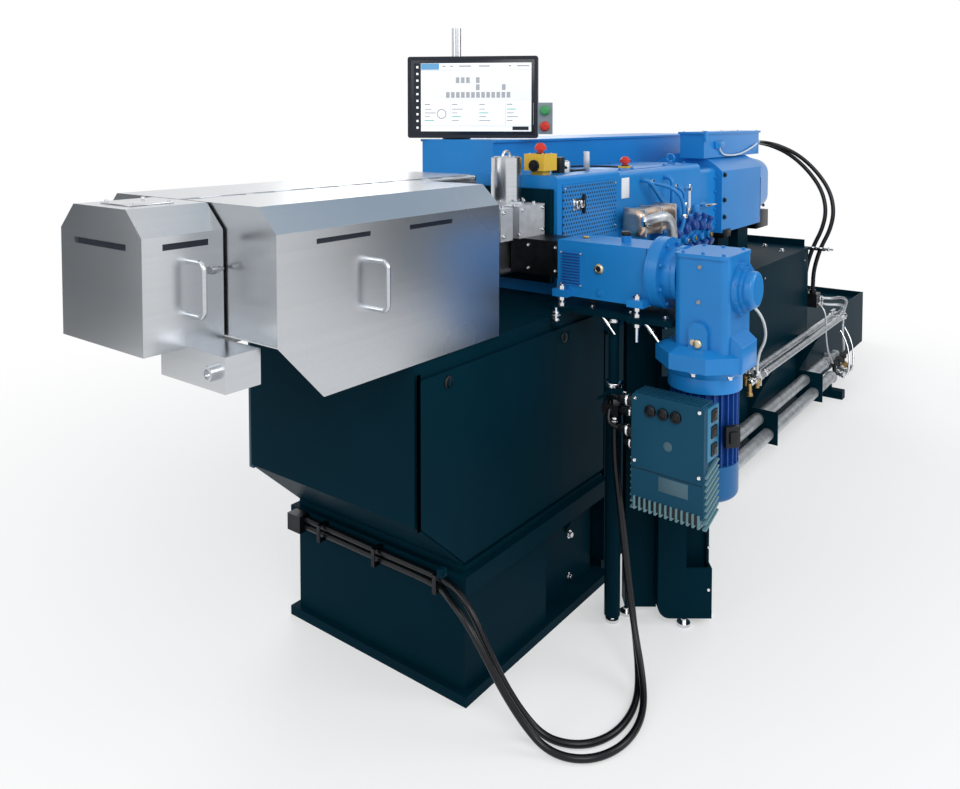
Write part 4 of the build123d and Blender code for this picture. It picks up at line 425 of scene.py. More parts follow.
def block(low, high, edge=0.0015, segments=2, turn=None):
    """A block between two corners with rounded edges; turn is a matrix about its middle."""
    deselect()
    middle = [(a + b) / 2 for a, b in zip(low, high)]
    bpy.ops.mesh.primitive_cube_add(
        size=1, location=middle, scale=[abs(b - a) for a, b in zip(low, high)],
    )
    piece = bpy.context.active_object
    if turn is not None:
        bpy.ops.object.transform_apply(location=False, rotation=False, scale=True)
        piece.matrix_world = Matrix.Translation(middle) @ turn
    settle(piece)
    if edge > 0:
        soften(piece, edge, segments)
    return piece


def turned(base, way, profile, sides=24, edge=0.0, segments=2):
    """A turned piece: rings extruded and resized along its axis, from base along way.

    The profile lists (distance along the axis, radius), starting at distance 0."""
    deselect()
    bpy.ops.mesh.primitive_circle_add(
        vertices=sides, radius=profile[0][1], fill_type="NGON", location=(0, 0, 0),
    )
    piece = bpy.context.active_object
    bpy.ops.object.mode_set(mode="EDIT")
    bpy.ops.mesh.select_all(action="SELECT")
    for (before, radius_before), (here, radius_here) in zip(profile, profile[1:]):
        bpy.ops.mesh.extrude_region_move(TRANSFORM_OT_translate={"value": (0, 0, here - before)})
        share = radius_here / radius_before
        if abs(share - 1) > 1e-6:
            bpy.ops.transform.resize(
                value=(share, share, 1), center_override=(0, 0, here), orient_type="GLOBAL",
            )
    bpy.ops.mesh.select_all(action="SELECT")
    bpy.ops.mesh.normals_make_consistent(inside=False)
    bpy.ops.object.mode_set(mode="OBJECT")
    axis = Vector(way).normalized()
    piece.matrix_world = Matrix.Translation(base) @ axis.to_track_quat("Z", "Y").to_matrix().to_4x4()
    settle(piece)
    if edge > 0:
        soften(piece, edge, segments)
    else:
        take(piece)
        bpy.ops.object.shade_smooth_by_angle(angle=math.radians(40))
    return piece


def rod(start, end, radius, sides=16, edge=0.0):
    """A straight rod between two points."""
    length = (Vector(end) - Vector(start)).length
    return turned(start, Vector(end) - Vector(start), [(0, radius), (length, radius)], sides, edge)


def tube(points, radius, sides=12, order=3):
    """A bent tube through control points, made a mesh."""
    curve = bpy.data.curves.new("tube", "CURVE")
    curve.dimensions = "3D"
    curve.bevel_depth = radius
    curve.bevel_resolution = max(1, sides // 4)
    curve.use_fill_caps = True
    curve.resolution_u = 8
    spline = curve.splines.new("NURBS")
    spline.points.add(len(points) - 1)
    for point, place in zip(spline.points, points):
        point.co = (*place, 1.0)
    spline.order_u = order
    spline.use_endpoint_u = True
    piece = bpy.data.objects.new("tube", curve)
    bpy.context.collection.objects.link(piece)
    take(piece)
    bpy.ops.object.convert(target="MESH")
    bpy.ops.object.shade_smooth_by_angle(angle=math.radians(50))
    return bpy.context.active_object


def joined(parts):
    """Several meshes joined to one piece."""
    deselect()
    for part in parts:
        part.select_set(True)
    bpy.context.view_layer.objects.active = parts[0]
    if len(parts) > 1:
        bpy.ops.object.join()
    return bpy.context.active_object


def copies(model, places):
    """Copies of a model, each with its own mesh and moved by an offset; the model is the first."""
    parts = [model]
    for place in places:
        other = model.copy()
        other.data = model.data.copy()
        bpy.context.collection.objects.link(other)
        other.matrix_world = Matrix.Translation(place)
        settle(other)
        parts.append(other)
    return parts


def bolt(place, way, width=0.016, height=0.007, washer=True):
    """A hexagon bolt head on its washer, standing on a surface."""
    way = Vector(way).normalized()
    parts = []
    rise = 0.0
    if washer:
        parts.append(turned(place, way, [(0, width * 0.72), (0.0016, width * 0.72)], 20, 0.0004, 1))
        rise = 0.0016
    head = turned(Vector(place) + way * rise, way, [(0, width / 2), (height, width / 2)], 6, 0.0008, 1)
    return parts + [head]


def socket_screw(place, way, width=0.012, height=0.006):
    """A round screw head with a recess."""
    return [turned(place, way, [
        (0, width / 2), (height, width / 2), (height, width / 4), (height - 0.003, width / 4),
    ], 16, 0.0004, 1)]


def give_finish(node, finish):
    """Give a CAD node its finish."""
    slots = frame["nodes"][node].data.materials
    if len(slots) == 0:
        slots.append(materials[finish])
    for index in range(len(slots)):
        slots[index] = materials[finish]


# Finishes of the CAD nodes
NODE_FINISHES = {
    "petrol": [
        "pedestal", "front_cabinet", "side_panels", "base_frame", "rear_box", "feeder_stand",
        "feeder_carriage", "drive_consoles", "pipe_brackets", "duct_posts", "shield_plate", "guide_post",
    ],
    "inverter": ["inverter_box"],
    "enamel": ["lantern", "terminal_box", "cable_duct", "main_motor"],
    "casting": ["gearbox", "feeder_gearbox", "adapter_housing", "bevel_gearbox", "valve_manifold"],
    "motor": ["feeder_motor"],
    "guard": ["lantern_guards"],
    "sheet_side": ["near_hood", "far_hood", "discharge_cover", "cover_floor", "lower_box", "hood_frame"],
    "blasted": ["feed_cover"],
    "sheet_bright": [
        "near_hood_handle", "far_hood_handle", "cover_handles", "feed_cylinder", "screen_post",
    ],
    "cast_steel": ["die_head", "barrel", "barrel_supports"],
    "chrome": ["carriage_rods", "stand_feet"],
    "copper": ["oil_pump"],
    "galvanised": ["lower_pipes", "upper_pipes", "pipe_valves"],
    "black": ["feeder_barrel", "screen_foot", "cable_fittings", "hose_fittings"],
    "dark_screen_and_shade": ["screen_housing"],
    "grey_plastic": ["button_station"],
    "yellow": ["stop_boxes"],
    "red": ["stop_buttons"],
    "rubber": ["feeder_cable_inner", "feeder_cable_outer", "rear_hose_near", "rear_hose_far"],
    "hose": ["drain_hose", "return_hose"],
}


# Heights between which the feeder motor has its fins
FINS_BOTTOM = 0.613
FINS_TOP = 0.835


class EXTRUDER_OT_finishes(bpy.types.Operator):
    """Give every CAD node its finish"""

    bl_idname = "extruder.finishes"
    bl_label = "Finishes"

    def execute(self, context):
        materials.update(make_materials(context.scene.extruder_paint))
        for finish, nodes in NODE_FINISHES.items():
            for node in nodes:
                give_finish(node, finish)
        # The feeder motor's flange and cowl are in the machine's enamel, its fins are not; the cowl below
        # the fins gets a darker copy of the enamel, a painted shade
        motor = frame["nodes"]["feeder_motor"]
        motor.data.materials.append(materials["enamel"])
        motor.data.materials.append(materials["enamel_painted_shade"])
        for polygon in motor.data.polygons:
            level = (motor.matrix_world @ polygon.center).z
            if level > FINS_TOP:
                polygon.material_index = len(motor.data.materials) - 2
            elif level < FINS_BOTTOM:
                polygon.material_index = len(motor.data.materials) - 1
        return {"FINISHED"}


# Camera, light, floor and backdrop: where the camera stands and which way it looks, in degrees
CAMERA_PLACE = (-2.464, -1.780)
CAMERA_TILT = 87.55
CAMERA_HEADING = -52.76
CAMERA_SHIFT = -0.2485


class EXTRUDER_OT_stage(bpy.types.Operator):
    """Set up the camera, the light and the floor"""

    bl_idname = "extruder.stage"
    bl_label = "Stage"

    def execute(self, context):
        stage = context.scene.extruder_stage
        camera_data = bpy.data.cameras.new("camera")
        camera_data.sensor_width = 36
        camera_data.lens = stage.lens
        camera_data.shift_y = CAMERA_SHIFT
        camera_data.clip_start = 0.05
        camera_data.clip_end = 200
        camera = bpy.data.objects.new("camera", camera_data)
        context.collection.objects.link(camera)
        camera.location = (*CAMERA_PLACE, stage.eye_height)
        camera.rotation_euler = (math.radians(CAMERA_TILT), 0, math.radians(CAMERA_HEADING))
        context.scene.camera = camera
        context.scene.view_settings.view_transform = "Standard"

        world = bpy.data.worlds.new("studio")
        context.scene.world = world
        world.use_nodes = True
        tree = world.node_tree
        tree.nodes.clear()
        output = tree.nodes.new("ShaderNodeOutputWorld")
        soft = tree.nodes.new("ShaderNodeBackground")
        soft.inputs["Color"].default_value = (0.93, 0.97, 1.0, 1.0)
        soft.inputs["Strength"].default_value = stage.sky
        plain = tree.nodes.new("ShaderNodeBackground")
        plain.inputs["Color"].default_value = (1, 1, 1, 1)
        plain.inputs["Strength"].default_value = 1.0
        mix = tree.nodes.new("ShaderNodeMixShader")
        tree.links.new(seen(tree), mix.inputs[0])
        tree.links.new(soft.outputs[0], mix.inputs[1])
        tree.links.new(plain.outputs[0], mix.inputs[2])
        tree.links.new(mix.outputs[0], output.inputs["Surface"])

        lamps = (
            ("key", (-3.6, -4.2, 4.6), (0.2, 0.0, 0.9), 3.2, 150.0),
            ("fill", (-5.2, 1.8, 3.4), (-0.6, 0.0, 1.0), 3.0, 60.0),
            ("rim", (4.5, 3.8, 4.2), (1.5, 0.0, 1.0), 3.5, 90.0),
            ("side", (2.6, -4.6, 3.4), (1.2, 0.0, 1.3), 2.6, 85.0),
        )
        for name, place, target, size, power in lamps:
            light = bpy.data.lights.new(name, "AREA")
            light.shape = "SQUARE"
            light.size = size
            light.energy = power
            lamp = bpy.data.objects.new(name, light)
            context.collection.objects.link(lamp)
            lamp.location = place
            lamp.rotation_euler = (Vector(target) - Vector(place)).to_track_quat("-Z", "Y").to_euler()

        # Boards beside and above the stage give the sheet metal something to mirror
        boards = (
            ("board_right", (3.3, -2.75, 1.3), (90, 0, 72), (3.7, 2.8), 0.02),
            ("board_left", (-3.35, 3.6, 1.45), (90, 0, 10), (1.5, 2.9), 0.05),
            ("board_top", (3.0, 0.3, 4.6), (0, 0, 0), (4.4, 3.4), 0.60),
        )
        for name, place, turn, size, tone in boards:
            deselect()
            bpy.ops.mesh.primitive_plane_add(
                size=1, location=place, rotation=[math.radians(part) for part in turn],
            )
            board = context.active_object
            board.scale = (size[0], size[1], 1)
            settle(board)
            board.name = name
            material, tree, shader, coordinates = new_material(name)
            cloth = noise(tree, coordinates.outputs["Object"], 1.4, 2.0)
            dark = (tone * 0.6, tone * 0.8, tone)
            pale = (tone, tone * 1.2, tone * 1.4)
            tree.links.new(ramp(tree, cloth, [(0.3, dark), (0.7, pale)]), shader.inputs["Base Color"])
            shader.inputs["Roughness"].default_value = 0.9
            board.data.materials.append(material)
            board.visible_camera = False
            board.visible_diffuse = False
            board.visible_shadow = False
            board.visible_transmission = False

        deselect()
        bpy.ops.mesh.primitive_plane_add(size=60, location=(1.2, 0, -0.0005))
        floor = context.active_object
        settle(floor)
        floor.name = "floor"
        material, tree, shader, coordinates = new_material("pale floor")
        shader.inputs["Base Color"].default_value = (0.93, 0.93, 0.93, 1.0)
        shader.inputs["Roughness"].default_value = 0.6
        shader.inputs["Specular IOR Level"].default_value = 0.2
        glow = tree.nodes.new("ShaderNodeEmission")
        glow.inputs["Color"].default_value = (1, 1, 1, 1)
        glow.inputs["Strength"].default_value = 1.0
        # Beyond the object the floor fades to the white of the backdrop
        away = tree.nodes.new("ShaderNodeVectorMath")
        away.operation = "DISTANCE"
        away.inputs[1].default_value = (1.0, 0.0, 0.0)
        tree.links.new(coordinates.outputs["Object"], away.inputs[0])
        fade = tree.nodes.new("ShaderNodeMapRange")
        fade.interpolation_type = "SMOOTHSTEP"
        fade.inputs["From Min"].default_value = 1.4
        fade.inputs["From Max"].default_value = 4.4
        fade.inputs["To Min"].default_value = 0.42
        tree.links.new(away.outputs["Value"], fade.inputs["Value"])
        share = tree.nodes.new("ShaderNodeMath")
        share.operation = "MULTIPLY"
        tree.links.new(fade.outputs["Result"], share.inputs[0])
        tree.links.new(seen(tree), share.inputs[1])
        blend = tree.nodes.new("ShaderNodeMixShader")
        tree.links.new(share.outputs[0], blend.inputs[0])
        tree.links.new(shader.outputs["BSDF"], blend.inputs[1])
        tree.links.new(glow.outputs["Emission"], blend.inputs[2])
        output = next(node for node in tree.nodes if node.type == "OUTPUT_MATERIAL")
        tree.links.new(blend.outputs[0], output.inputs["Surface"])
        floor.data.materials.append(material)
        return {"FINISHED"}


# Cables and hoses: diameter, finish, stiffness and the CAD model's route, in metres
CORDS = {
    "feeder_cable_inner": (
        0.020, "rubber", "medium",
        [
            (-0.140, -0.548, 0.700), (-0.140, -0.548, 0.600), (-0.147, -0.568, 0.482),
            (-0.160, -0.594, 0.352), (-0.182, -0.624, 0.222), (-0.220, -0.662, 0.112),
            (-0.278, -0.704, 0.042), (-0.350, -0.739, 0.013), (-0.436, -0.760, 0.011),
            (-0.522, -0.758, 0.011), (-0.592, -0.728, 0.011), (-0.634, -0.676, 0.011),
            (-0.650, -0.612, 0.014), (-0.664, -0.556, 0.060), (-0.690, -0.512, 0.140),
            (-0.710, -0.470, 0.232), (-0.712, -0.424, 0.310), (-0.702, -0.362, 0.348),
            (-0.691, -0.296, 0.3545), (-0.688, -0.172, 0.3525), (-0.688, -0.036, 0.352),
            (-0.688, 0.122, 0.354), (-0.688, 0.280, 0.354),
        ],
    ),
    "feeder_cable_outer": (
        0.020, "rubber", "medium",
        [
            (-0.168, -0.562, 0.700), (-0.168, -0.562, 0.604), (-0.176, -0.583, 0.485),
            (-0.188, -0.606, 0.356), (-0.210, -0.636, 0.228), (-0.246, -0.676, 0.122),
            (-0.300, -0.726, 0.050), (-0.372, -0.770, 0.015), (-0.458, -0.796, 0.011),
            (-0.548, -0.796, 0.011), (-0.624, -0.766, 0.011), (-0.672, -0.710, 0.011),
            (-0.688, -0.640, 0.016), (-0.700, -0.580, 0.066), (-0.724, -0.532, 0.146),
            (-0.742, -0.482, 0.238), (-0.744, -0.426, 0.304), (-0.726, -0.358, 0.328),
            (-0.694, -0.292, 0.3315), (-0.688, -0.168, 0.3295), (-0.688, -0.034, 0.329),
            (-0.688, 0.124, 0.331), (-0.688, 0.280, 0.331),
        ],
    ),
    "rear_hose_near": (
        0.024, "rubber", "medium",
        [
            (2.440, -0.098, 1.520), (2.548, -0.098, 1.520), (2.650, -0.166, 1.498),
            (2.718, -0.264, 1.440), (2.745, -0.360, 1.345), (2.740, -0.440, 1.232),
            (2.718, -0.472, 1.112), (2.694, -0.456, 1.000), (2.675, -0.412, 0.900),
            (2.668, -0.384, 0.800), (2.672, -0.370, 0.720), (2.672, -0.370, 0.640),
        ],
    ),
    "rear_hose_far": (
        0.024, "rubber", "medium",
        [
            (2.440, -0.050, 1.520), (2.544, -0.050, 1.520), (2.646, -0.116, 1.500),
            (2.714, -0.214, 1.443), (2.744, -0.312, 1.348), (2.740, -0.394, 1.234),
            (2.718, -0.428, 1.114), (2.696, -0.412, 1.004), (2.680, -0.368, 0.902),
            (2.674, -0.338, 0.802), (2.676, -0.324, 0.722), (2.676, -0.324, 0.640),
        ],
    ),
    "drain_hose": (
        0.014, "hose", "limp",
        [
            (1.370, -0.380, 0.800), (1.370, -0.434, 0.800), (1.388, -0.480, 0.764),
            (1.430, -0.498, 0.694), (1.472, -0.490, 0.610), (1.471, -0.450, 0.526),
            (1.471, -0.450, 0.449),
        ],
    ),
    "return_hose": (
        0.014, "hose", "limp",
        [
            (3.057, -0.450, 0.374), (3.057, -0.450, 0.300), (3.078, -0.454, 0.228),
            (3.120, -0.442, 0.166), (3.164, -0.400, 0.130), (3.164, -0.346, 0.130),
        ],
    ),
}


class EXTRUDER_OT_cords(bpy.types.Operator):
    """Lay the feeder's cables and the hoses along their routes"""

    bl_idname = "extruder.cords"
    bl_label = "Cables and hoses"

    def execute(self, context):
        for name, (diameter, finish, stiffness, route) in CORDS.items():
            curve = bpy.data.curves.new(name + "_line", "CURVE")
            curve.dimensions = "3D"
            curve.bevel_depth = diameter / 2
            curve.bevel_resolution = 4
            curve.resolution_u = 10
            curve.use_fill_caps = True
            spline = curve.splines.new("NURBS")
            spline.points.add(len(route) - 1)
            for point, place in zip(spline.points, route):
                point.co = (*place, 1.0)
            spline.order_u = 3
            spline.use_endpoint_u = True
            piece = bpy.data.objects.new(name + "_line", curve)
            context.collection.objects.link(piece)
            curve.materials.append(materials[finish])
            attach(piece, "machine")
            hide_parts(name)
        return {"FINISHED"}


# Fasteners and small parts used over and over

def fasteners(name, places, way, width=0.014, height=0.006, finish="chrome", washer=True, recess=False,
              body="machine"):
    """Like screws at several places: one is modelled and the others are its copies."""
    if recess:
        model = joined(socket_screw(places[0], way, width, height))
    else:
        model = joined(bolt(places[0], way, width, height, washer))
    first = Vector(places[0])
    parts = copies(model, [Vector(place) - first for place in places[1:]])
    return dress(joined(parts), name, finish, body)


def ring_places(middle, way, radius, count, start=0.0):
    """Places on a circle round an axis."""
    way = Vector(way).normalized()
    turn = way.to_track_quat("Z", "Y").to_matrix()
    places = []
    for index in range(count):
        angle = start + 2 * math.pi * index / count
        places.append(Vector(middle) + turn @ Vector((math.cos(angle), math.sin(angle), 0)) * radius)
    return places


def ribbed(points, radius, pitch=0.010, depth=0.84):
    """A corrugated tube: the bent path is sampled and its radius goes in and out."""
    curve = bpy.data.curves.new("path", "CURVE")
    curve.dimensions = "3D"
    curve.resolution_u = 24
    spline = curve.splines.new("NURBS")
    spline.points.add(len(points) - 1)
    for point, place in zip(spline.points, points):
        point.co = (*place, 1.0)
    spline.order_u = 3
    spline.use_endpoint_u = True
    guide = bpy.data.objects.new("path", curve)
    bpy.context.collection.objects.link(guide)
    take(guide)
    bpy.ops.object.convert(target="MESH")
    guide = bpy.context.active_object
    line = [vertex.co.copy() for vertex in guide.data.vertices]
    bpy.ops.object.delete()
    places = [line[0]]
    step = pitch / 2
    left = step
    for before, after in zip(line, line[1:]):
        length = (after - before).length
        while left <= length:
            before = before + (after - before).normalized() * left
            places.append(before.copy())
            length = (after - before).length
            left = step
        left -= length
    curve = bpy.data.curves.new("ribbed", "CURVE")
    curve.dimensions = "3D"
    curve.bevel_depth = radius
    curve.bevel_resolution = 3
    curve.use_fill_caps = True
    spline = curve.splines.new("POLY")
    spline.points.add(len(places) - 1)
    for index, (point, place) in enumerate(zip(spline.points, places)):
        point.co = (*place, 1.0)
        point.radius = 1.0 if index % 2 else depth
    piece = bpy.data.objects.new("ribbed", curve)
    bpy.context.collection.objects.link(piece)
    take(piece)
    bpy.ops.object.convert(target="MESH")
    bpy.ops.object.shade_smooth_by_angle(angle=math.radians(60))
    return bpy.context.active_object


def ring(middle, way, major, minor, sides=28):
    """A round ring about an axis."""
    deselect()
    turn = Vector(way).to_track_quat("Z", "Y").to_euler()
    bpy.ops.mesh.primitive_torus_add(
        location=middle, rotation=turn, major_radius=major, minor_radius=minor, major_segments=sides,
        minor_segments=8,
    )
    piece = bpy.context.active_object
    settle(piece)
    bpy.ops.object.shade_smooth_by_angle(angle=math.radians(60))
    return piece


def lifting_eye(place):
    """A lifting eye with its collar on a top face."""
    place = Vector(place)
    return joined([
        turned(
            place, (0, 0, 1), [(0, 0.016), (0.006, 0.016), (0.006, 0.009), (0.014, 0.008)], 20, 0.0006, 1,
        ),
        ring(place + Vector((0, 0, 0.030)), (1, 0, 0), 0.018, 0.0055),
    ])


def hex_fitting(base, way, width, length):
    """A pipe fitting: a hexagon with a round collar and end."""
    way = Vector(way).normalized()
    base = Vector(base)
    return joined([
        turned(base, way, [(0, width * 0.40), (length, width * 0.40)], 18, 0.0006, 1),
        turned(base + way * length * 0.12, way, [(0, width / 2), (length / 2, width / 2)], 6, 0.0010, 1),
        turned(
            base + way * length * 0.78, way, [(0, width * 0.46), (length * 0.14, width * 0.46)], 18,
            0.0006, 1,
        ),
    ])


def ball_valve(middle, way, size, stem, lever):
    """A ball valve: a body along the pipe, a stem upwards and a flat lever along the pipe."""
    way = Vector(way).normalized()
    middle = Vector(middle)
    stem = Vector(stem).normalized()
    grip = way if lever > 0 else -way
    body = turned(
        middle - way * size, way,
        [
            (0, size * 0.46), (size * 0.35, size * 0.46), (size * 0.40, size * 0.62),
            (size * 1.60, size * 0.62), (size * 1.65, size * 0.46), (size * 2.0, size * 0.46),
        ],
        20, 0.0008, 1,
    )
    neck = turned(
        middle + stem * size * 0.5, stem, [(0, size * 0.24), (size * 0.55, size * 0.24)], 14, 0.0005, 1,
    )
    top = middle + stem * size * 1.02
    blade = rod(top - grip * size * 0.3, top + grip * abs(lever), size * 0.14, 10, 0.0004)
    return [joined([body, neck]), blade]


# Hoods, covers and feed zone

class EXTRUDER_OT_hoods(bpy.types.Operator):
    """Add the small parts of the hoods, covers and feed zone"""

    bl_idname = "extruder.hoods"
    bl_label = "Hood and cover details"

    def execute(self, context):
        edge = context.scene.extruder_detail.edge
        # Screwed plate and latch of the discharge cover
        plate = block((-1.476, -0.062, 1.460), (-1.366, 0.062, 1.4630), edge)
        dress(plate, "cover_top_plate", "sheet_bright")
        fasteners("cover_plate_screws", [
            (x, y, 1.4630) for x in (-1.466, -1.376) for y in (-0.052, 0.052)
        ], (0, 0, 1), 0.009, 0.006, "chrome", recess=True)
        for side, name in ((-1, "near"), (1, "far")):
            y = side * 0.1765
            knob = joined([
                rod((-1.348, y, 1.314), (-1.318, y, 1.314), 0.0042, 14, 0.0006),
                turned((-1.352, y, 1.314), (1, 0, 0), [(0, 0.0095), (0.012, 0.0095)], 18, 0.0010, 1),
                turned(
                    (-1.334, side * 0.170, 1.314), (0, side, 0), [(0, 0.0085), (0.010, 0.0085)], 6,
                    0.0008, 1,
                ),
            ])
            dress(knob, "cover_latch_" + name, "cast_steel")
        # Dark panes behind the slots of the hoods and the discharge cover: painted shade for the dark
        # inside seen through the slots
        for side, name, starts in ((-1, "near", (-1.193, -0.879)), (1, "far", (-1.193, -0.879, -0.565))):
            inner = (side * 0.346, side * 0.3445)
            panes = [block((start - 0.006, min(inner), 1.363), (start + 0.178, max(inner), 1.389), 0.0)
                     for start in starts]
            dress(joined(panes), "hood_shade_panes_" + name, "dark_screen_and_shade", name + "_hood")
        panes = [block((-1.5090, -0.115, 1.364), (-1.5075, 0.115, 1.392), 0.0)]
        for side in (-1, 1):
            inner = (side * 0.166, side * 0.1645)
            panes.append(block((-1.470, min(inner), 1.364), (-1.348, max(inner), 1.392), 0.0))
        dress(joined(panes), "cover_shade_panes", "dark_screen_and_shade")
        # Feed cover screws on both long sides and its top
        for side, name in ((-1, "near"), (1, "far")):
            fasteners("feed_cover_screws_" + name, [
                (x, side * 0.150, z) for x, z in (
                    (-0.190, 1.258), (-0.100, 1.256), (0.050, 1.258), (-0.190, 1.338), (-0.075, 1.338),
                    (0.050, 1.338),
                )
            ], (0, side, 0), 0.012, 0.006, "chrome", recess=True)
        fasteners("feed_top_screws", [
            (x, y, 1.351) for x in (-0.165, -0.095, 0.028) for y in (-0.128, 0.128)
        ], (0, 0, 1), 0.014, 0.009, "chrome", recess=True)
        rim = turned((-0.005, -0.030, 1.351), (0, 0, 1), [
            (0, 0.078), (0.010, 0.078), (0.010, 0.0555), (0.014, 0.0555),
        ], 40, 0.0008, 1)
        dress(rim, "plug_collar", "sheet_bright")
        fasteners("plug_collar_screws", ring_places((-0.005, -0.030, 1.361), (0, 0, 1), 0.067, 8, 0.3),
                  (0, 0, 1), 0.009, 0.006, "chrome", recess=True)
        top = turned(
            (-0.005, -0.030, 1.516), (0, 0, 1),
            [(0, 0.046), (0.004, 0.046), (0.004, 0.030), (0.001, 0.030)], 36, 0.0006, 1,
        )
        dress(top, "plug_lid", "sheet_bright")
        return {"FINISHED"}


# Cabinet and pedestal

class EXTRUDER_OT_cabinet(bpy.types.Operator):
    """Add the locks, folds, bolts and clips of the cabinet and pedestal"""

    bl_idname = "extruder.cabinet"
    bl_label = "Cabinet details"

    def execute(self, context):
        edge = context.scene.extruder_detail.edge
        for side, name in ((-1, "near"), (1, "far")):
            face = side * 0.350
            # The fold is a lighter copy of the petrol coat: a painted highlight along the bend
            fold = block(
                (-0.8545, min(face, face - side * 0.020), 0.566),
                (-0.840, max(face, face + side * 0.0012), 0.985), 0.0008,
            )
            dress(fold, "cabinet_fold_" + name, "petrol_fold_highlight")
            places = [(-0.727, face, 0.937), (-0.127, face, 0.935)]
            locks = copies(
                joined([
                    turned(
                        places[0], (0, side, 0),
                        [(0, 0.017), (0.004, 0.017), (0.006, 0.015), (0.006, 0.011), (0.003, 0.011)], 28,
                        0.0004, 1,
                    ),
                    block(
                        (-0.7295, min(face + side * 0.002, face + side * 0.009), 0.926),
                        (-0.7245, max(face + side * 0.002, face + side * 0.009), 0.948), 0.0005, 1,
                    ),
                ]),
                [Vector(places[1]) - Vector(places[0])],
            )
            dress(joined(locks), "cabinet_locks_" + name, "black_plastic_and_shade")
        # Stud at the cabinet's near edge, with its nuts
        x, y = -0.188, -0.358
        stud = joined([
            rod((x, y, 0.992), (x, y, 1.046), 0.0055, 12),
            turned((x, y, 1.000), (0, 0, 1), [(0, 0.013), (0.012, 0.013)], 6, 0.0008, 1),
            turned((x, y, 1.020), (0, 0, 1), [(0, 0.015), (0.002, 0.015)], 20, 0.0004, 1),
            turned((x, y, 1.022), (0, 0, 1), [(0, 0.012), (0.012, 0.012)], 6, 0.0008, 1),
        ])
        dress(stud, "cabinet_stud", "chrome")
        ear = block((-0.206, -0.374, 0.990), (-0.170, -0.349, 1.000), edge)
        dress(ear, "cabinet_stud_ear", "petrol")
        # Bolts of the pedestal
        fasteners("pedestal_bolts_near", [(-0.012, -0.306, 0.212), (-0.012, -0.306, 0.062)], (0, -1, 0),
                  0.020, 0.010)
        fasteners("pedestal_bolts_far", [(-0.012, 0.306, 0.212), (-0.012, 0.306, 0.062)], (0, 1, 0),
                  0.020, 0.010)
        clip = joined([
            block((-0.776, -0.366, 0.412), (-0.752, -0.349, 0.436), edge),
            block((-0.770, -0.372, 0.418), (-0.758, -0.360, 0.430), edge),
        ])
        dress(clip, "cabinet_clip", "petrol")
        return {"FINISHED"}


# Side feeder: the height of its axis, and the middle, right and outward ways of the inverter's face
FEEDER_AXIS = 1.165
INVERTER_FACE = Vector((-0.216, -0.758, 0.6685))
INVERTER_RIGHT = Vector((-0.0349, -0.9994, 0.0))
INVERTER_OUT = Vector((-0.9994, 0.0349, 0.0))
INVERTER_TURN = Matrix.Rotation(math.radians(-2), 4, "Z")


def on_inverter(across, up, out=0.0):
    """A place on the inverter's face, from its middle."""
    return INVERTER_FACE + INVERTER_RIGHT * across + Vector((0, 0, up)) + INVERTER_OUT * out


def inverter_block(across, up, out, width, height, depth, edge=0.0010, tilt=None):
    """A block squared to the inverter, around a middle; tilt turns it in the side's plane first."""
    middle = on_inverter(across, up, out)
    size = Vector((depth, width, height)) / 2
    turn = INVERTER_TURN if tilt is None else INVERTER_TURN @ Matrix.Rotation(math.radians(tilt), 4, "Y")
    return block(middle - size, middle + size, edge, 2, turn)


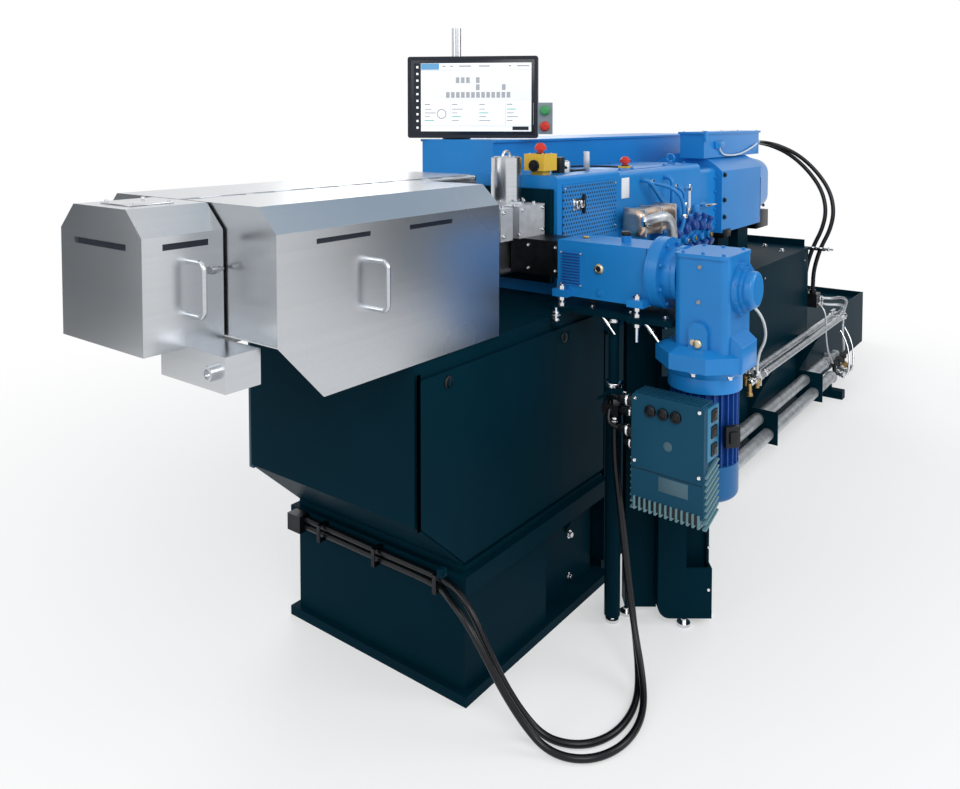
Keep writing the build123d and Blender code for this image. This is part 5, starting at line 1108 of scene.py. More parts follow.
class EXTRUDER_OT_feeder(bpy.types.Operator):
    """Add the small parts of the side feeder's housing and gearbox"""

    bl_idname = "extruder.feeder"
    bl_label = "Feeder details"

    def execute(self, context):
        edge = context.scene.extruder_detail.edge
        # Louvre slots on the housing's two side plates
        for side, name in ((-1, "left"), (1, "right")):
            face = side * 0.089
            model = block((min(face, face + side * 0.003), -0.3885, 1.1070),
                          (max(face, face + side * 0.003), -0.3195, 1.1115), 0.0008, 1)
            slats = copies(model, [(0, 0, 0.0098 * step) for step in range(1, 11)])
            dress(joined(slats), "louvre_" + name, "motor")
            fasteners("louvre_screws_" + name, [
                (face, y, z) for y in (-0.3165, -0.3915) for z in (1.1045, 1.2105)
            ], (side, 0, 0), 0.006, 0.003, "chrome", recess=True)
            # Seam of the housing's end cover
            seam = block((min(side * 0.085, side * 0.0865), -0.6265, 1.0660),
                         (max(side * 0.085, side * 0.0865), -0.6245, 1.2490), 0.0)
            dress(seam, "housing_seam_" + name, "motor")
        glass = turned(
            (-0.085, -0.458, 1.167), (-1, 0, 0),
            [
                (0, 0.017), (0.005, 0.017), (0.005, 0.0145), (0.009, 0.013), (0.009, 0.009),
                (0.004, 0.009),
            ],
            28, 0.0005, 1,
        )
        dress(glass, "sight_glass", "brass_pale")
        pane = turned((-0.088, -0.458, 1.167), (-1, 0, 0), [(0, 0.0088), (0.003, 0.0088)], 24, 0.0004, 1)
        dress(pane, "sight_pane", "dark_screen_and_shade")
        plug = joined(bolt((-0.085, -0.462, 1.089), (-1, 0, 0), 0.018, 0.006))
        dress(plug, "drain_plug", "enamel")
        cap = turned(
            (0, -0.511, 1.272), (0, 0, 1), [(0, 0.0175), (0.010, 0.0175), (0.014, 0.013)], 24, 0.001,
        )
        dress(cap, "breather_cap", "black_plastic_and_shade")
        lid = turned((0, -0.360, 1.250), (0, 0, 1), [(0, 0.012), (0.007, 0.012)], 6, 0.0008, 1)
        dress(lid, "filler_plug", "brass")
        # Bolt circles of the adapter
        fasteners(
            "adapter_bolts_front", ring_places((0, -0.670, FEEDER_AXIS), (0, -1, 0), 0.099, 8, 0.39),
            (0, -1, 0), 0.014, 0.008, "enamel",
        )
        rim = turned((0, -0.642, FEEDER_AXIS), (0, 1, 0), [(0, 0.1155), (0.004, 0.1155)], 48, 0.0005, 1)
        dress(rim, "adapter_rim", "casting")
        fasteners(
            "adapter_bolts_rear", ring_places((0, -0.708, FEEDER_AXIS), (0, 1, 0), 0.0875, 8, 0.39),
            (0, 1, 0), 0.007, 0.006, "enamel", washer=False,
        )
        # Rings and screws of the feeder's barrel
        for side, name in ((-1, "left"), (1, "right")):
            fasteners("feeder_barrel_screws_" + name, [
                (side * 0.072, y, z) for y in (-0.175, -0.285) for z in (1.140, 1.220)
            ], (side, 0, 0), 0.011, 0.007, "chrome", recess=True)
        collar = block((-0.077, -0.300, 1.115), (0.077, -0.286, 1.245), edge)
        dress(collar, "feeder_barrel_collar", "black")
        # Bevel gearbox: lid screws, side plugs, oval plug, boss screws and the cap's bolt circle
        fasteners("bevel_lid_screws", [
            (x, y, 1.250) for x in (-0.082, 0.082) for y in (-0.745, -0.808, -0.872)
        ], (0, 0, 1), 0.011, 0.005, "enamel", recess=True)
        for side, name in ((-1, "left"), (1, "right")):
            fasteners("bevel_plugs_" + name, [
                (side * 0.100, -0.807, 1.213), (side * 0.100, -0.804, 1.107),
            ], (side, 0, 0), 0.013, 0.005, "cast_steel", recess=True)
        oval = joined([
            turned(
                (-0.116, -0.808, 0.984), (-1, 0, 0), [(0, 0.014), (0.004, 0.014), (0.007, 0.011)], 22,
                0.0006, 1,
            ),
            turned((-0.116, -0.794, 0.988), (-1, 0, 0), [(0, 0.009), (0.005, 0.009)], 18, 0.0006, 1),
        ])
        dress(oval, "bevel_oval_plug", "brass_pale")
        fasteners(
            "cap_bolts", ring_places((-0.013, -0.910, 1.144), (0, -1, 0), 0.074, 8, 0.39), (0, -1, 0),
            0.009, 0.005, "enamel", recess=True,
        )
        places = [(-0.110, -0.905, 0.905), (-0.148, -0.808, 0.905), (0.084, -0.905, 0.905)]
        fasteners("skirt_bolts", places, (0, 0, -1), 0.016, 0.010, "chrome")
        face = block((-0.074, -0.9292, 0.916), (0.048, -0.9278, 0.978), 0.0006)
        dress(face, "skirt_lug_face", "casting")
        # Clamp ring and lever of the telescopic post
        clamp = joined([
            turned(
                (-0.060, -0.500, 0.786), (0, 0, 1),
                [(0, 0.0335), (0.012, 0.0335), (0.014, 0.0315), (0.014, 0.0180), (0.010, 0.0180)], 32,
                0.0006, 1,
            ),
            turned((-0.060, -0.530, 0.770), (0, -1, 0), [(0, 0.008), (0.018, 0.008)], 6, 0.0008, 1),
        ])
        dress(clamp, "post_clamp_ring", "chrome")
        seal = turned(
            (-0.060, -0.500, 0.996), (0, 0, 1), [(0, 0.0215), (0.012, 0.0215), (0.016, 0.0180)], 28,
            0.0006, 1,
        )
        dress(seal, "post_top_ring", "chrome")
        return {"FINISHED"}


class EXTRUDER_OT_inverter(bpy.types.Operator):
    """Add the plugs, screws, fins and sockets of the inverter and the motor's fittings"""

    bl_idname = "extruder.inverter"
    bl_label = "Inverter details"

    def execute(self, context):
        plugs = []
        glass = []
        for across in (-0.053, -0.012, 0.029):
            base = on_inverter(across, 0.119)
            plugs.append(turned(base, INVERTER_OUT, [
                (0, 0.0175), (0.006, 0.0175), (0.009, 0.0155), (0.009, 0.0115), (0.005, 0.0115),
            ], 28, 0.0005, 1))
            glass.append(
                turned(base, INVERTER_OUT, [(0, 0.0113), (0.007, 0.0113), (0.008, 0.008)], 20, 0.0005, 1)
            )
            glass.append(block(base + INVERTER_OUT * 0.0085 - Vector((0.0015, 0.009, 0.0016)),
                               base + INVERTER_OUT * 0.0085 + Vector((0.0015, 0.009, 0.0016)), 0.0004, 1))
        dress(joined(plugs), "inverter_plug_rings", "black")
        dress(joined(glass), "inverter_plugs", "black_plastic_and_shade")
        fasteners("inverter_screws", [
            on_inverter(across, up) for across, up in (
                (-0.103, 0.149), (0.103, 0.149), (-0.103, -0.040), (0.103, -0.040),
            )
        ], INVERTER_OUT, 0.011, 0.005, "chrome", recess=True)
        # Bare nameplate and a shallow round dial without lettering
        plate = inverter_block(0.022, -0.092, 0.0005, 0.094, 0.044, 0.0020, 0.0006)
        dress(plate, "inverter_plate", "grey_plate")
        dial = turned(
            on_inverter(0.004, 0.026), INVERTER_OUT,
            [(0, 0.014), (0.0015, 0.014), (0.0015, 0.009), (0.003, 0.009)], 28, 0.0004, 1,
        )
        dress(dial, "inverter_dial", "grey_plate")
        step = inverter_block(0.0, -0.063, 0.0003, 0.224, 0.0016, 0.0014, 0.0)
        dress(step, "inverter_face_seam", "black_plastic_and_shade")
        # Slanted fins low on both sides, plain panel with three sockets above them; fins and panel are
        # paler than the inverter coat, a painted highlight
        for side, name in ((-1, "far"), (1, "near")):
            across = side * 0.1165
            fins = []
            for index in range(9):
                fins.append(
                    inverter_block(
                        across, -0.176 + 0.0190 * index, -0.050, 0.012, 0.0055, 0.094, 0.0008, tilt=-20,
                    )
                )
            dress(joined(fins), "inverter_fins_" + name, "inverter_fin")
            panel = inverter_block(side * 0.1155, 0.078, -0.058, 0.006, 0.156, 0.076, 0.0015)
            dress(panel, "inverter_side_panel_" + name, "inverter_painted_highlight")
            sockets = []
            for up in (0.130, 0.082, 0.030):
                sockets.append(inverter_block(side * 0.1190, up, -0.060, 0.008, 0.036, 0.036, 0.002))
                sockets.append(inverter_block(side * 0.1215, up, -0.060, 0.008, 0.022, 0.022, 0.003))
            dress(joined(sockets), "inverter_sockets_" + name, "black_plastic_and_shade")
        # Fins along the face's lower edge, with a dark ground between them as painted shade of the gaps,
        # and thin ribs along the top
        ground = inverter_block(0.0, -0.166, -0.038, 0.212, 0.030, 0.080, 0.001)
        dress(ground, "inverter_fin_shade_sheet", "black_plastic_and_shade")
        fins = []
        ribs = []
        for index in range(13):
            across = -0.103 + 0.01716 * index
            fins.append(inverter_block(across, -0.169, -0.037, 0.0066, 0.040, 0.086, 0.0012))
        for index in range(24):
            across = -0.106 + 0.00922 * index
            ribs.append(inverter_block(across, 0.1635, -0.040, 0.0036, 0.007, 0.070, 0.0006))
        # The lower fins are paler than the inverter coat: a painted highlight
        dress(joined(fins), "inverter_lower_fins", "inverter_fin")
        dress(joined(ribs), "inverter_upper_ribs", "inverter")
        # Square plug on the motor's finned body
        turn = Matrix.Rotation(math.radians(-38), 4, "Z")
        middle = Vector((-0.069, -0.898, 0.712))
        connector = joined([
            block(
                middle - Vector((0.024, 0.010, 0.032)), middle + Vector((0.024, 0.010, 0.032)), 0.002, 2,
                turn,
            ),
            block(
                middle - Vector((0.014, 0.018, 0.018)), middle + Vector((0.014, 0.018, 0.018)), 0.003, 2,
                turn,
            ),
        ])
        dress(connector, "motor_plug", "black_plastic_and_shade")
        fasteners("motor_cowl_screws", ring_places((-0.013, -0.826, 0.560), (0, 0, 1), 0.1035, 1, 3.9),
                  (-0.72, -0.69, 0), 0.010, 0.005, "chrome", recess=True)
        # Plugs and cable glands between the inverter and the post
        bodies = []
        collars = []
        for x, y, z, reach in (
            (-0.196, -0.642, 0.800, 0.052), (-0.172, -0.642, 0.756, 0.060),
            (-0.196, -0.642, 0.708, 0.050), (-0.172, -0.642, 0.662, 0.044),
        ):
            bodies.append(turned((x, y, z), (0, 1, 0), [
                (0, 0.017), (0.012, 0.017), (0.012, 0.014), (reach - 0.012, 0.014), (reach, 0.010),
            ], 20, 0.0008, 1))
            collars.append(
                turned((x, y + 0.016, z), (0, 1, 0), [(0, 0.0185), (0.010, 0.0185)], 10, 0.0010, 1)
            )
        for x, y in ((-0.140, -0.548), (-0.168, -0.562)):
            collars.append(
                turned(
                    (x, y, 0.728), (0, 0, -1), [(0, 0.0160), (0.012, 0.0160), (0.016, 0.013)], 8, 0.0008,
                    1,
                )
            )
        dress(joined(bodies), "inverter_plug_bodies", "black_plastic_and_shade")
        dress(joined(collars), "inverter_plug_collars", "chrome")
        leads = joined([
            tube(
                [
                    (-0.196, -0.600, 0.800), (-0.196, -0.560, 0.800), (-0.176, -0.552, 0.780),
                    (-0.176, -0.552, 0.752),
                ],
                0.008,
            ),
            tube([(-0.172, -0.592, 0.756), (-0.172, -0.568, 0.756), (-0.172, -0.560, 0.752)], 0.008),
            tube(
                [
                    (-0.196, -0.600, 0.708), (-0.200, -0.566, 0.708), (-0.196, -0.552, 0.730),
                    (-0.182, -0.552, 0.752),
                ],
                0.008,
            ),
        ])
        dress(leads, "inverter_leads", "rubber")
        return {"FINISHED"}


class EXTRUDER_OT_stand(bpy.types.Operator):
    """Add the small parts of the feeder's stand and carriage"""

    bl_idname = "extruder.stand"
    bl_label = "Stand details"

    def execute(self, context):
        along = Vector((-0.602, 0.799, 0))
        out = Vector((-0.799, -0.602, 0))
        near_end = Vector((0.113, -0.772, 0))
        screws = [near_end + along * 0.012 + Vector((0, 0, level)) for level in (0.262, 0.120)]
        fasteners("stand_screws", screws, out, 0.010, 0.005, "chrome", recess=True)
        middle = near_end + along * 0.046 - out * 0.062 + Vector((0, 0, 0.250))
        size = Vector((0.092, 0.004, 0.240)) / 2
        turn = Matrix((along, Vector((-out.x, -out.y, 0)), Vector((0, 0, 1)))).transposed().to_4x4()
        lining = block(middle - size, middle + size, 0.001, 2, turn)
        dress(lining, "stand_lining", "petrol")
        fasteners("carriage_bolts", [
            (x, y, 1.032) for x in (-0.060, 0.060) for y in (-0.300, -0.420, -0.560, -0.680)
        ], (0, 0, 1), 0.014, 0.006)
        return {"FINISHED"}


# Drive train and oil unit: the middle line of the manifold and the height of its ports
MANIFOLD_LINE = -0.225
MANIFOLD_PORTS = 1.122


class EXTRUDER_OT_drive(bpy.types.Operator):
    """Add the small parts of the lantern, gearbox and motors"""

    bl_idname = "extruder.drive"
    bl_label = "Drive details"

    def execute(self, context):
        guard_low, guard_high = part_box("lantern_guards")
        for side, name in ((-1, "near"), (1, "far")):
            face = guard_low[1] if side < 0 else guard_high[1]

            def panel(x0, z0, x1, z1, inner, outer, rounding=0.001):
                a, b = face + side * inner, face + side * outer
                return block((x0, min(a, b), z0), (x1, max(a, b), z1), rounding)

            latch = joined([
                panel(0.196, 1.316, 0.262, 1.358, -0.001, 0.004),
                panel(0.200, 1.322, 0.226, 1.352, 0.002, 0.018, 0.005),
                panel(0.232, 1.322, 0.258, 1.352, 0.002, 0.018, 0.005),
            ])
            dress(latch, "guard_latch_" + name, "chrome")
            keeper = panel(0.266, 1.300, 0.276, 1.372, -0.001, 0.012, 0.002)
            dress(keeper, "guard_keeper_" + name, "black_plastic_and_shade")
            fasteners("guard_screws_" + name, [
                (x, face, z) for x in (0.140, 0.526) for z in (1.060, 1.230, 1.400)
            ], (0, side, 0), 0.010, 0.004, "chrome", recess=True)
        plate = block((0.586, -0.1875, 1.330), (0.652, -0.1845, 1.414), 0.0008)
        dress(plate, "bare_plate", "white_plate")
        # Level gauge with its two cocks, and the handle bar beside it
        gauge = joined([
            block((1.211, -0.216, 1.222), (1.231, -0.183, 1.240), 0.002),
            block((1.211, -0.216, 1.322), (1.231, -0.183, 1.340), 0.002),
            turned((1.221, -0.206, 1.340), (0, 0, 1), [(0, 0.006), (0.012, 0.006)], 6, 0.0006, 1),
        ])
        dress(gauge, "level_gauge_cocks", "chrome")
        glass = rod((1.221, -0.206, 1.238), (1.221, -0.206, 1.324), 0.0068, 18)
        dress(glass, "level_gauge_glass", "white_plate")
        bar = joined([
            rod((1.404, -0.210, 1.235), (1.534, -0.210, 1.235), 0.0065, 16, 0.001),
            rod((1.424, -0.210, 1.235), (1.424, -0.170, 1.235), 0.0050, 12),
            rod((1.514, -0.210, 1.235), (1.514, -0.170, 1.235), 0.0050, 12),
        ])
        dress(bar, "coupling_handle", "chrome")
        for side, name in ((-1, "near"), (1, "far")):
            fasteners("joint_bolts_" + name, [
                (0.640 + 0.108 * step, side * 0.195, 1.190) for step in range(7)
            ], (0, side, 0), 0.012, 0.006, "enamel")
            fasteners("motor_flange_bolts_" + name, [
                (1.662, side * 0.205, z) for z in (1.157, 1.244, 1.372)
            ], (0, side, 0), 0.020, 0.010, "black_plastic_and_shade")
            fasteners("coupling_bolts_" + name, [
                (1.610, side * 0.172, z) for z in (1.130, 1.200, 1.290, 1.360)
            ], (0, side, 0), 0.014, 0.008, "enamel")
            front = (-0.213, -0.153) if side < 0 else (0.153, 0.213)
            rear = (-0.178, -0.110) if side < 0 else (0.110, 0.178)
            feet = joined([
                block((1.645, front[0], 1.050), (1.745, front[1], 1.092), 0.003),
                block((2.230, rear[0], 1.034), (2.430, rear[1], 1.132), 0.003),
            ])
            dress(feet, "motor_feet_" + name, "black")
        # Seam before the motor's bell
        seam = block((2.206, -0.2062, 1.110), (2.212, 0.2062, 1.330), 0.0008)
        dress(seam, "motor_seam", "motor")
        bosses = [(2.460, y, z) for y in (-0.168 * 0.82, 0.168 * 0.82) for z in (1.150, 1.372)]
        fasteners("bell_screws", bosses, (1, 0, 0), 0.014, 0.006, "chrome")
        dress(lifting_eye((1.244, -0.100, 1.440)), "gearbox_eye", "enamel")
        # Lid screws and rim of the gearbox's top
        lid = block((0.640, -0.150, 1.4395), (1.330, 0.150, 1.4430), 0.0015)
        dress(lid, "gearbox_lid", "enamel")
        fasteners("gearbox_lid_bolts", [
            (x, y, 1.443) for x in (0.660, 0.770, 1.090, 1.200, 1.312) for y in (-0.138, 0.138)
        ], (0, 0, 1), 0.013, 0.006, "enamel")
        # Terminal box: gland plate, lid tab, lid screws and cable glands with their rings
        cover = joined([
            block((1.714, -0.1400, 1.503), (1.839, -0.1275, 1.540), 0.003),
            block((1.744, -0.1440, 1.512), (1.809, -0.1390, 1.531), 0.002),
        ])
        dress(cover, "terminal_gland_plate", "enamel")
        tab = block((1.574, -0.1390, 1.544), (1.603, -0.1260, 1.596), 0.002)
        dress(tab, "terminal_lid_tab", "enamel")
        fasteners("terminal_lid_screws", [
            (x, y, 1.590) for x in (1.600, 1.850, 2.120, 2.375) for y in (-0.120, -0.010)
        ], (0, 0, 1), 0.010, 0.004, "chrome", recess=True)
        rings = []
        for y in (-0.098, -0.050):
            rings.append(
                turned((2.396, y, 1.520), (1, 0, 0), [(0, 0.0270), (0.014, 0.0270)], 8, 0.0012, 1)
            )
            rings.append(
                turned(
                    (2.424, y, 1.520), (1, 0, 0), [(0, 0.0240), (0.014, 0.0240), (0.018, 0.0150)], 10,
                    0.0010, 1,
                )
            )
        dress(joined(rings), "terminal_gland_rings", "chrome")
        wire = tube(
            [
                (1.776, -0.135, 1.505), (1.790, -0.135, 1.470), (1.953, -0.136, 1.459),
                (2.089, -0.136, 1.466), (2.216, -0.136, 1.487), (2.330, -0.135, 1.512),
                (2.398, -0.120, 1.520),
            ],
            0.0048,
        )
        dress(wire, "terminal_tube", "hose")
        # Cable of the second stop button
        lead = tube(
            [
                (0.800, -0.068, 1.446), (0.800, 0.000, 1.4465), (0.790, 0.080, 1.4465),
                (0.700, 0.140, 1.4465), (0.580, 0.180, 1.4465),
            ],
            0.004,
        )
        dress(lead, "stop_lead", "rubber")
        return {"FINISHED"}


class EXTRUDER_OT_oil(bpy.types.Operator):
    """Add the oil unit's hoses, bands, valves and fittings"""

    bl_idname = "extruder.oil"
    bl_label = "Oil unit details"

    def execute(self, context):
        bands = []
        for x in (0.556, 0.700, 0.838):
            bands.append(block((x - 0.006, -0.3140, 1.1830), (x + 0.006, -0.2100, 1.2990), 0.036, 4))
        dress(joined(bands), "oil_pump_bands", "cast_steel")
        elbow = ribbed(
            [
                (0.556, -0.300, 1.246), (0.556, -0.356, 1.270), (0.628, -0.376, 1.268),
                (0.690, -0.366, 1.180), (0.760, -0.322, 1.136), (0.862, -0.242, 1.126),
            ],
            0.022, 0.012,
        )
        dress(elbow, "oil_hose", "galvanised")
        collars = joined([
            turned((0.556, -0.302, 1.247), (0, -1, 0.2), [(0, 0.028), (0.022, 0.028)], 8, 0.0012, 1),
            turned((0.832, -0.266, 1.129), (0.8, 0.6, -0.06), [(0, 0.027), (0.036, 0.027)], 8, 0.0012, 1),
        ])
        dress(collars, "oil_hose_collars", "chrome")
        pipes = joined([
            tube(
                [
                    (0.940, -0.268, 1.150), (0.940, -0.296, 1.170), (0.956, -0.300, 1.260),
                    (0.930, -0.290, 1.330), (0.880, -0.250, 1.372), (0.850, -0.184, 1.380),
                ],
                0.0085,
            ),
            tube(
                [
                    (1.118, MANIFOLD_LINE, 1.240), (1.118, -0.232, 1.300), (1.100, -0.222, 1.340),
                    (1.100, -0.184, 1.348),
                ],
                0.0070,
            ),
        ])
        dress(pipes, "oil_thin_pipes", "enamel")
        nuts = joined([
            turned((0.850, -0.186, 1.380), (0, -1, 0), [(0, 0.0155), (0.016, 0.0155)], 6, 0.0008, 1),
            turned((1.100, -0.186, 1.348), (0, -1, 0), [(0, 0.0135), (0.014, 0.0135)], 6, 0.0008, 1),
            turned((0.952, -0.299, 1.225), (0.1, 0, 1), [(0, 0.0140), (0.016, 0.0140)], 6, 0.0008, 1),
            turned((1.118, -0.228, 1.262), (0, 0, 1), [(0, 0.0125), (0.014, 0.0125)], 6, 0.0008, 1),
        ])
        dress(nuts, "oil_pipe_nuts", "chrome")
        blues = []
        brights = []
        yellows = []
        for index in range(5):
            x = 0.903 + 0.086 * index
            blues.append(
                turned((x, MANIFOLD_LINE, 1.158), (0, 0, 1), [(0, 0.026), (0.014, 0.026)], 6, 0.0014, 1)
            )
            blues.append(
                turned((x, MANIFOLD_LINE, 1.204), (0, 0, 1), [(0, 0.0245), (0.016, 0.0245)], 6, 0.0014, 1)
            )
            if index in (2, 4):
                blues.append(
                    turned(
                        (x, MANIFOLD_LINE, 1.220), (0, 0, 1),
                        [(0, 0.016), (0.030, 0.016), (0.036, 0.010)], 18, 0.0010, 1,
                    )
                )
            if index == 3:
                brights.append(
                    turned(
                        (x, MANIFOLD_LINE, 1.220), (0, 0, 1),
                        [(0, 0.010), (0.016, 0.010), (0.016, 0.016), (0.030, 0.016)], 18, 0.0008, 1,
                    )
                )
            size = 0.021 if index % 2 else 0.024
            blues.append(
                turned((x, -0.264, MANIFOLD_PORTS), (0, -1, 0), [(0, size), (0.012, size)], 6, 0.0014, 1)
            )
            blues.append(
                turned(
                    (x, -0.276, MANIFOLD_PORTS), (0, -1, 0),
                    [(0, size * 0.6), (0.012, size * 0.6), (0.012, size * 0.8), (0.024, size * 0.8)], 6,
                    0.0010, 1,
                )
            )
        deeps = []
        for x, z in ((0.946, 1.170), (1.030, 1.178), (1.118, 1.186), (1.204, 1.178), (1.272, 1.160)):
            deeps.append(turned((x, -0.240, z - 0.022), (0, -1, 0.35), [
                (0, 0.017), (0.024, 0.017), (0.024, 0.024), (0.050, 0.024), (0.054, 0.017),
            ], 16, 0.0012, 1))
            deeps.append(turned((x + 0.012, -0.276, z + 0.006), (0.3, -0.2, 1), [
                (0, 0.012), (0.020, 0.012), (0.020, 0.017), (0.038, 0.017),
            ], 6, 0.0012, 1))
        for x in (0.874, 0.960, 1.046, 1.132, 1.218, 1.286):
            deeps.append(
                turned(
                    (x, -0.262, 1.096), (0, -1, -0.4),
                    [(0, 0.014), (0.018, 0.014), (0.018, 0.020), (0.036, 0.020)], 6, 0.0012, 1,
                )
            )
        dress(joined(deeps), "manifold_valves", "motor")
        yellows.append(
            turned(
                (1.075, -0.300, MANIFOLD_PORTS), (0, -1, 0), [(0, 0.011), (0.008, 0.011)], 6, 0.0008, 1,
            )
        )
        yellows.append(
            turned(
                (1.247, -0.300, MANIFOLD_PORTS), (0, -1, 0), [(0, 0.013), (0.010, 0.013)], 6, 0.0008, 1,
            )
        )
        brights.append(
            turned(
                (0.989, -0.300, MANIFOLD_PORTS), (0, -1, 0), [(0, 0.010), (0.010, 0.010)], 6, 0.0008, 1,
            )
        )
        dress(joined(blues), "manifold_fittings", "enamel")
        dress(joined(brights), "manifold_caps", "chrome")
        dress(joined(yellows), "manifold_brass", "brass")
        return {"FINISHED"}


# Base frame, pipes and hoses: the deck's top, the heights of both pairs of pipes and their places in Y
DECK_TOP = 0.900
UPPER_PIPES = 0.420
LOWER_PIPES = 0.097
PIPE_NEAR = -0.450
PIPE_FAR = -0.396


class EXTRUDER_OT_pipes(bpy.types.Operator):
    """Add the unions and corrugated tubes of the base's near side"""

    bl_idname = "extruder.pipes"
    bl_label = "Pipe details"

    def execute(self, context):
        # Corrugated tubes from the gland box to the upper pipes' ends
        tubes = [
            ribbed(
                [
                    (2.700, -0.398, 0.590), (2.700, -0.430, 0.592), (2.740, -0.470, 0.588),
                    (2.850, -0.486, 0.580), (2.990, -0.488, 0.540), (3.060, -0.462, 0.480),
                    (3.060, -0.450, 0.436),
                ],
                0.0085, 0.0075,
            ),
            ribbed(
                [
                    (2.690, -0.398, 0.560), (2.690, -0.440, 0.556), (2.740, -0.500, 0.556),
                    (2.820, -0.510, 0.536), (2.900, -0.480, 0.490), (2.960, -0.440, 0.452),
                    (3.002, -0.404, 0.436),
                ],
                0.0085, 0.0075,
            ),
            ribbed(
                [
                    (2.680, -0.398, 0.560), (2.676, -0.430, 0.540), (2.664, -0.452, 0.480),
                    (2.660, -0.450, 0.400), (2.690, -0.452, 0.300), (2.760, -0.452, 0.220),
                    (2.836, -0.450, 0.172),
                ],
                0.0070, 0.0065,
            ),
        ]
        dress(joined(tubes), "corrugated_tubes", "galvanised")
        unions = []
        for base, way in (((2.700, -0.394, 0.590), (0, -1, 0)), ((2.690, -0.394, 0.560), (0, -1, 0))):
            unions.append(hex_fitting(base, way, 0.030, 0.030))
        for y in (PIPE_NEAR, PIPE_FAR):
            for x in (1.560, 2.985):
                unions.append(hex_fitting((x, y, UPPER_PIPES), (1, 0, 0), 0.042, 0.040))
        unions.append(
            turned((3.060, -0.450, 0.404), (0, 0, 1), [(0, 0.020), (0.034, 0.020)], 6, 0.001, 1)
        )
        unions.append(
            turned((3.004, -0.400, 0.404), (0, 0, 1), [(0, 0.020), (0.034, 0.020)], 6, 0.001, 1)
        )
        dress(joined(unions), "pipe_unions", "chrome")
        return {"FINISHED"}


class EXTRUDER_OT_base(bpy.types.Operator):
    """Add the bolts and screws of the base frame and deck, and the hose clamp's bolt"""

    bl_idname = "extruder.base"
    bl_label = "Base details"

    def execute(self, context):
        bolts = (
            (1.520, 0.300), (1.883, 0.244), (2.077, 0.160), (2.376, 0.278), (2.508, 0.137),
            (1.300, 0.310),
        )
        places = [(x, side * y, DECK_TOP) for side in (-1, 1) for x, y in bolts]
        fasteners("deck_bolts", places, (0, 0, 1), 0.022, 0.012, "chrome")
        clamp = joined([
            turned((2.705, -0.440, 0.885), (0, -1, 0), [(0, 0.012), (0.012, 0.012)], 6, 0.0008, 1),
            rod((2.705, -0.436, 0.885), (2.705, -0.474, 0.885), 0.0055, 12),
            turned((2.679, -0.363, 0.890), (0, 0, 1), [(0, 0.020), (0.008, 0.020)], 8, 0.0010, 1),
            turned((2.674, -0.409, 0.890), (0, 0, 1), [(0, 0.020), (0.008, 0.020)], 8, 0.0010, 1),
        ])
        dress(clamp, "hose_clamp_bolt", "chrome")
        for side, name in ((-1, "near"), (1, "far")):
            places = [(x, side * 0.350, 0.830) for x in (0.420, 1.140, 1.860, 2.560)]
            fasteners("base_screws_" + name, places, (0, side, 0), 0.012, 0.005, "chrome", recess=True)
        return {"FINISHED"}


# Operator screen and stop buttons: the middle, right and outward ways of the screen's front
SCREEN_MIDDLE = Vector((0.3267, 0.3830, 1.747))
SCREEN_RIGHT = Vector((0.5, -0.866, 0.0))
SCREEN_OUT = Vector((-0.866, -0.5, 0.0))
SCREEN_TURN = Matrix((SCREEN_RIGHT, Vector((0, 0, 1)), SCREEN_OUT)).transposed().to_4x4()


def on_screen(across, up, out=0.0):
    """A place on the screen's front, from its middle."""
    return SCREEN_MIDDLE + SCREEN_RIGHT * across + Vector((0, 0, up)) + SCREEN_OUT * out


def screen_block(across, up, out, width, height, depth, edge=0.0):
    """A block squared to the screen, around a middle."""
    middle = on_screen(across, up, out)
    size = Vector((width, height, depth)) / 2
    return block(middle - size, middle + size, edge, 2, SCREEN_TURN)


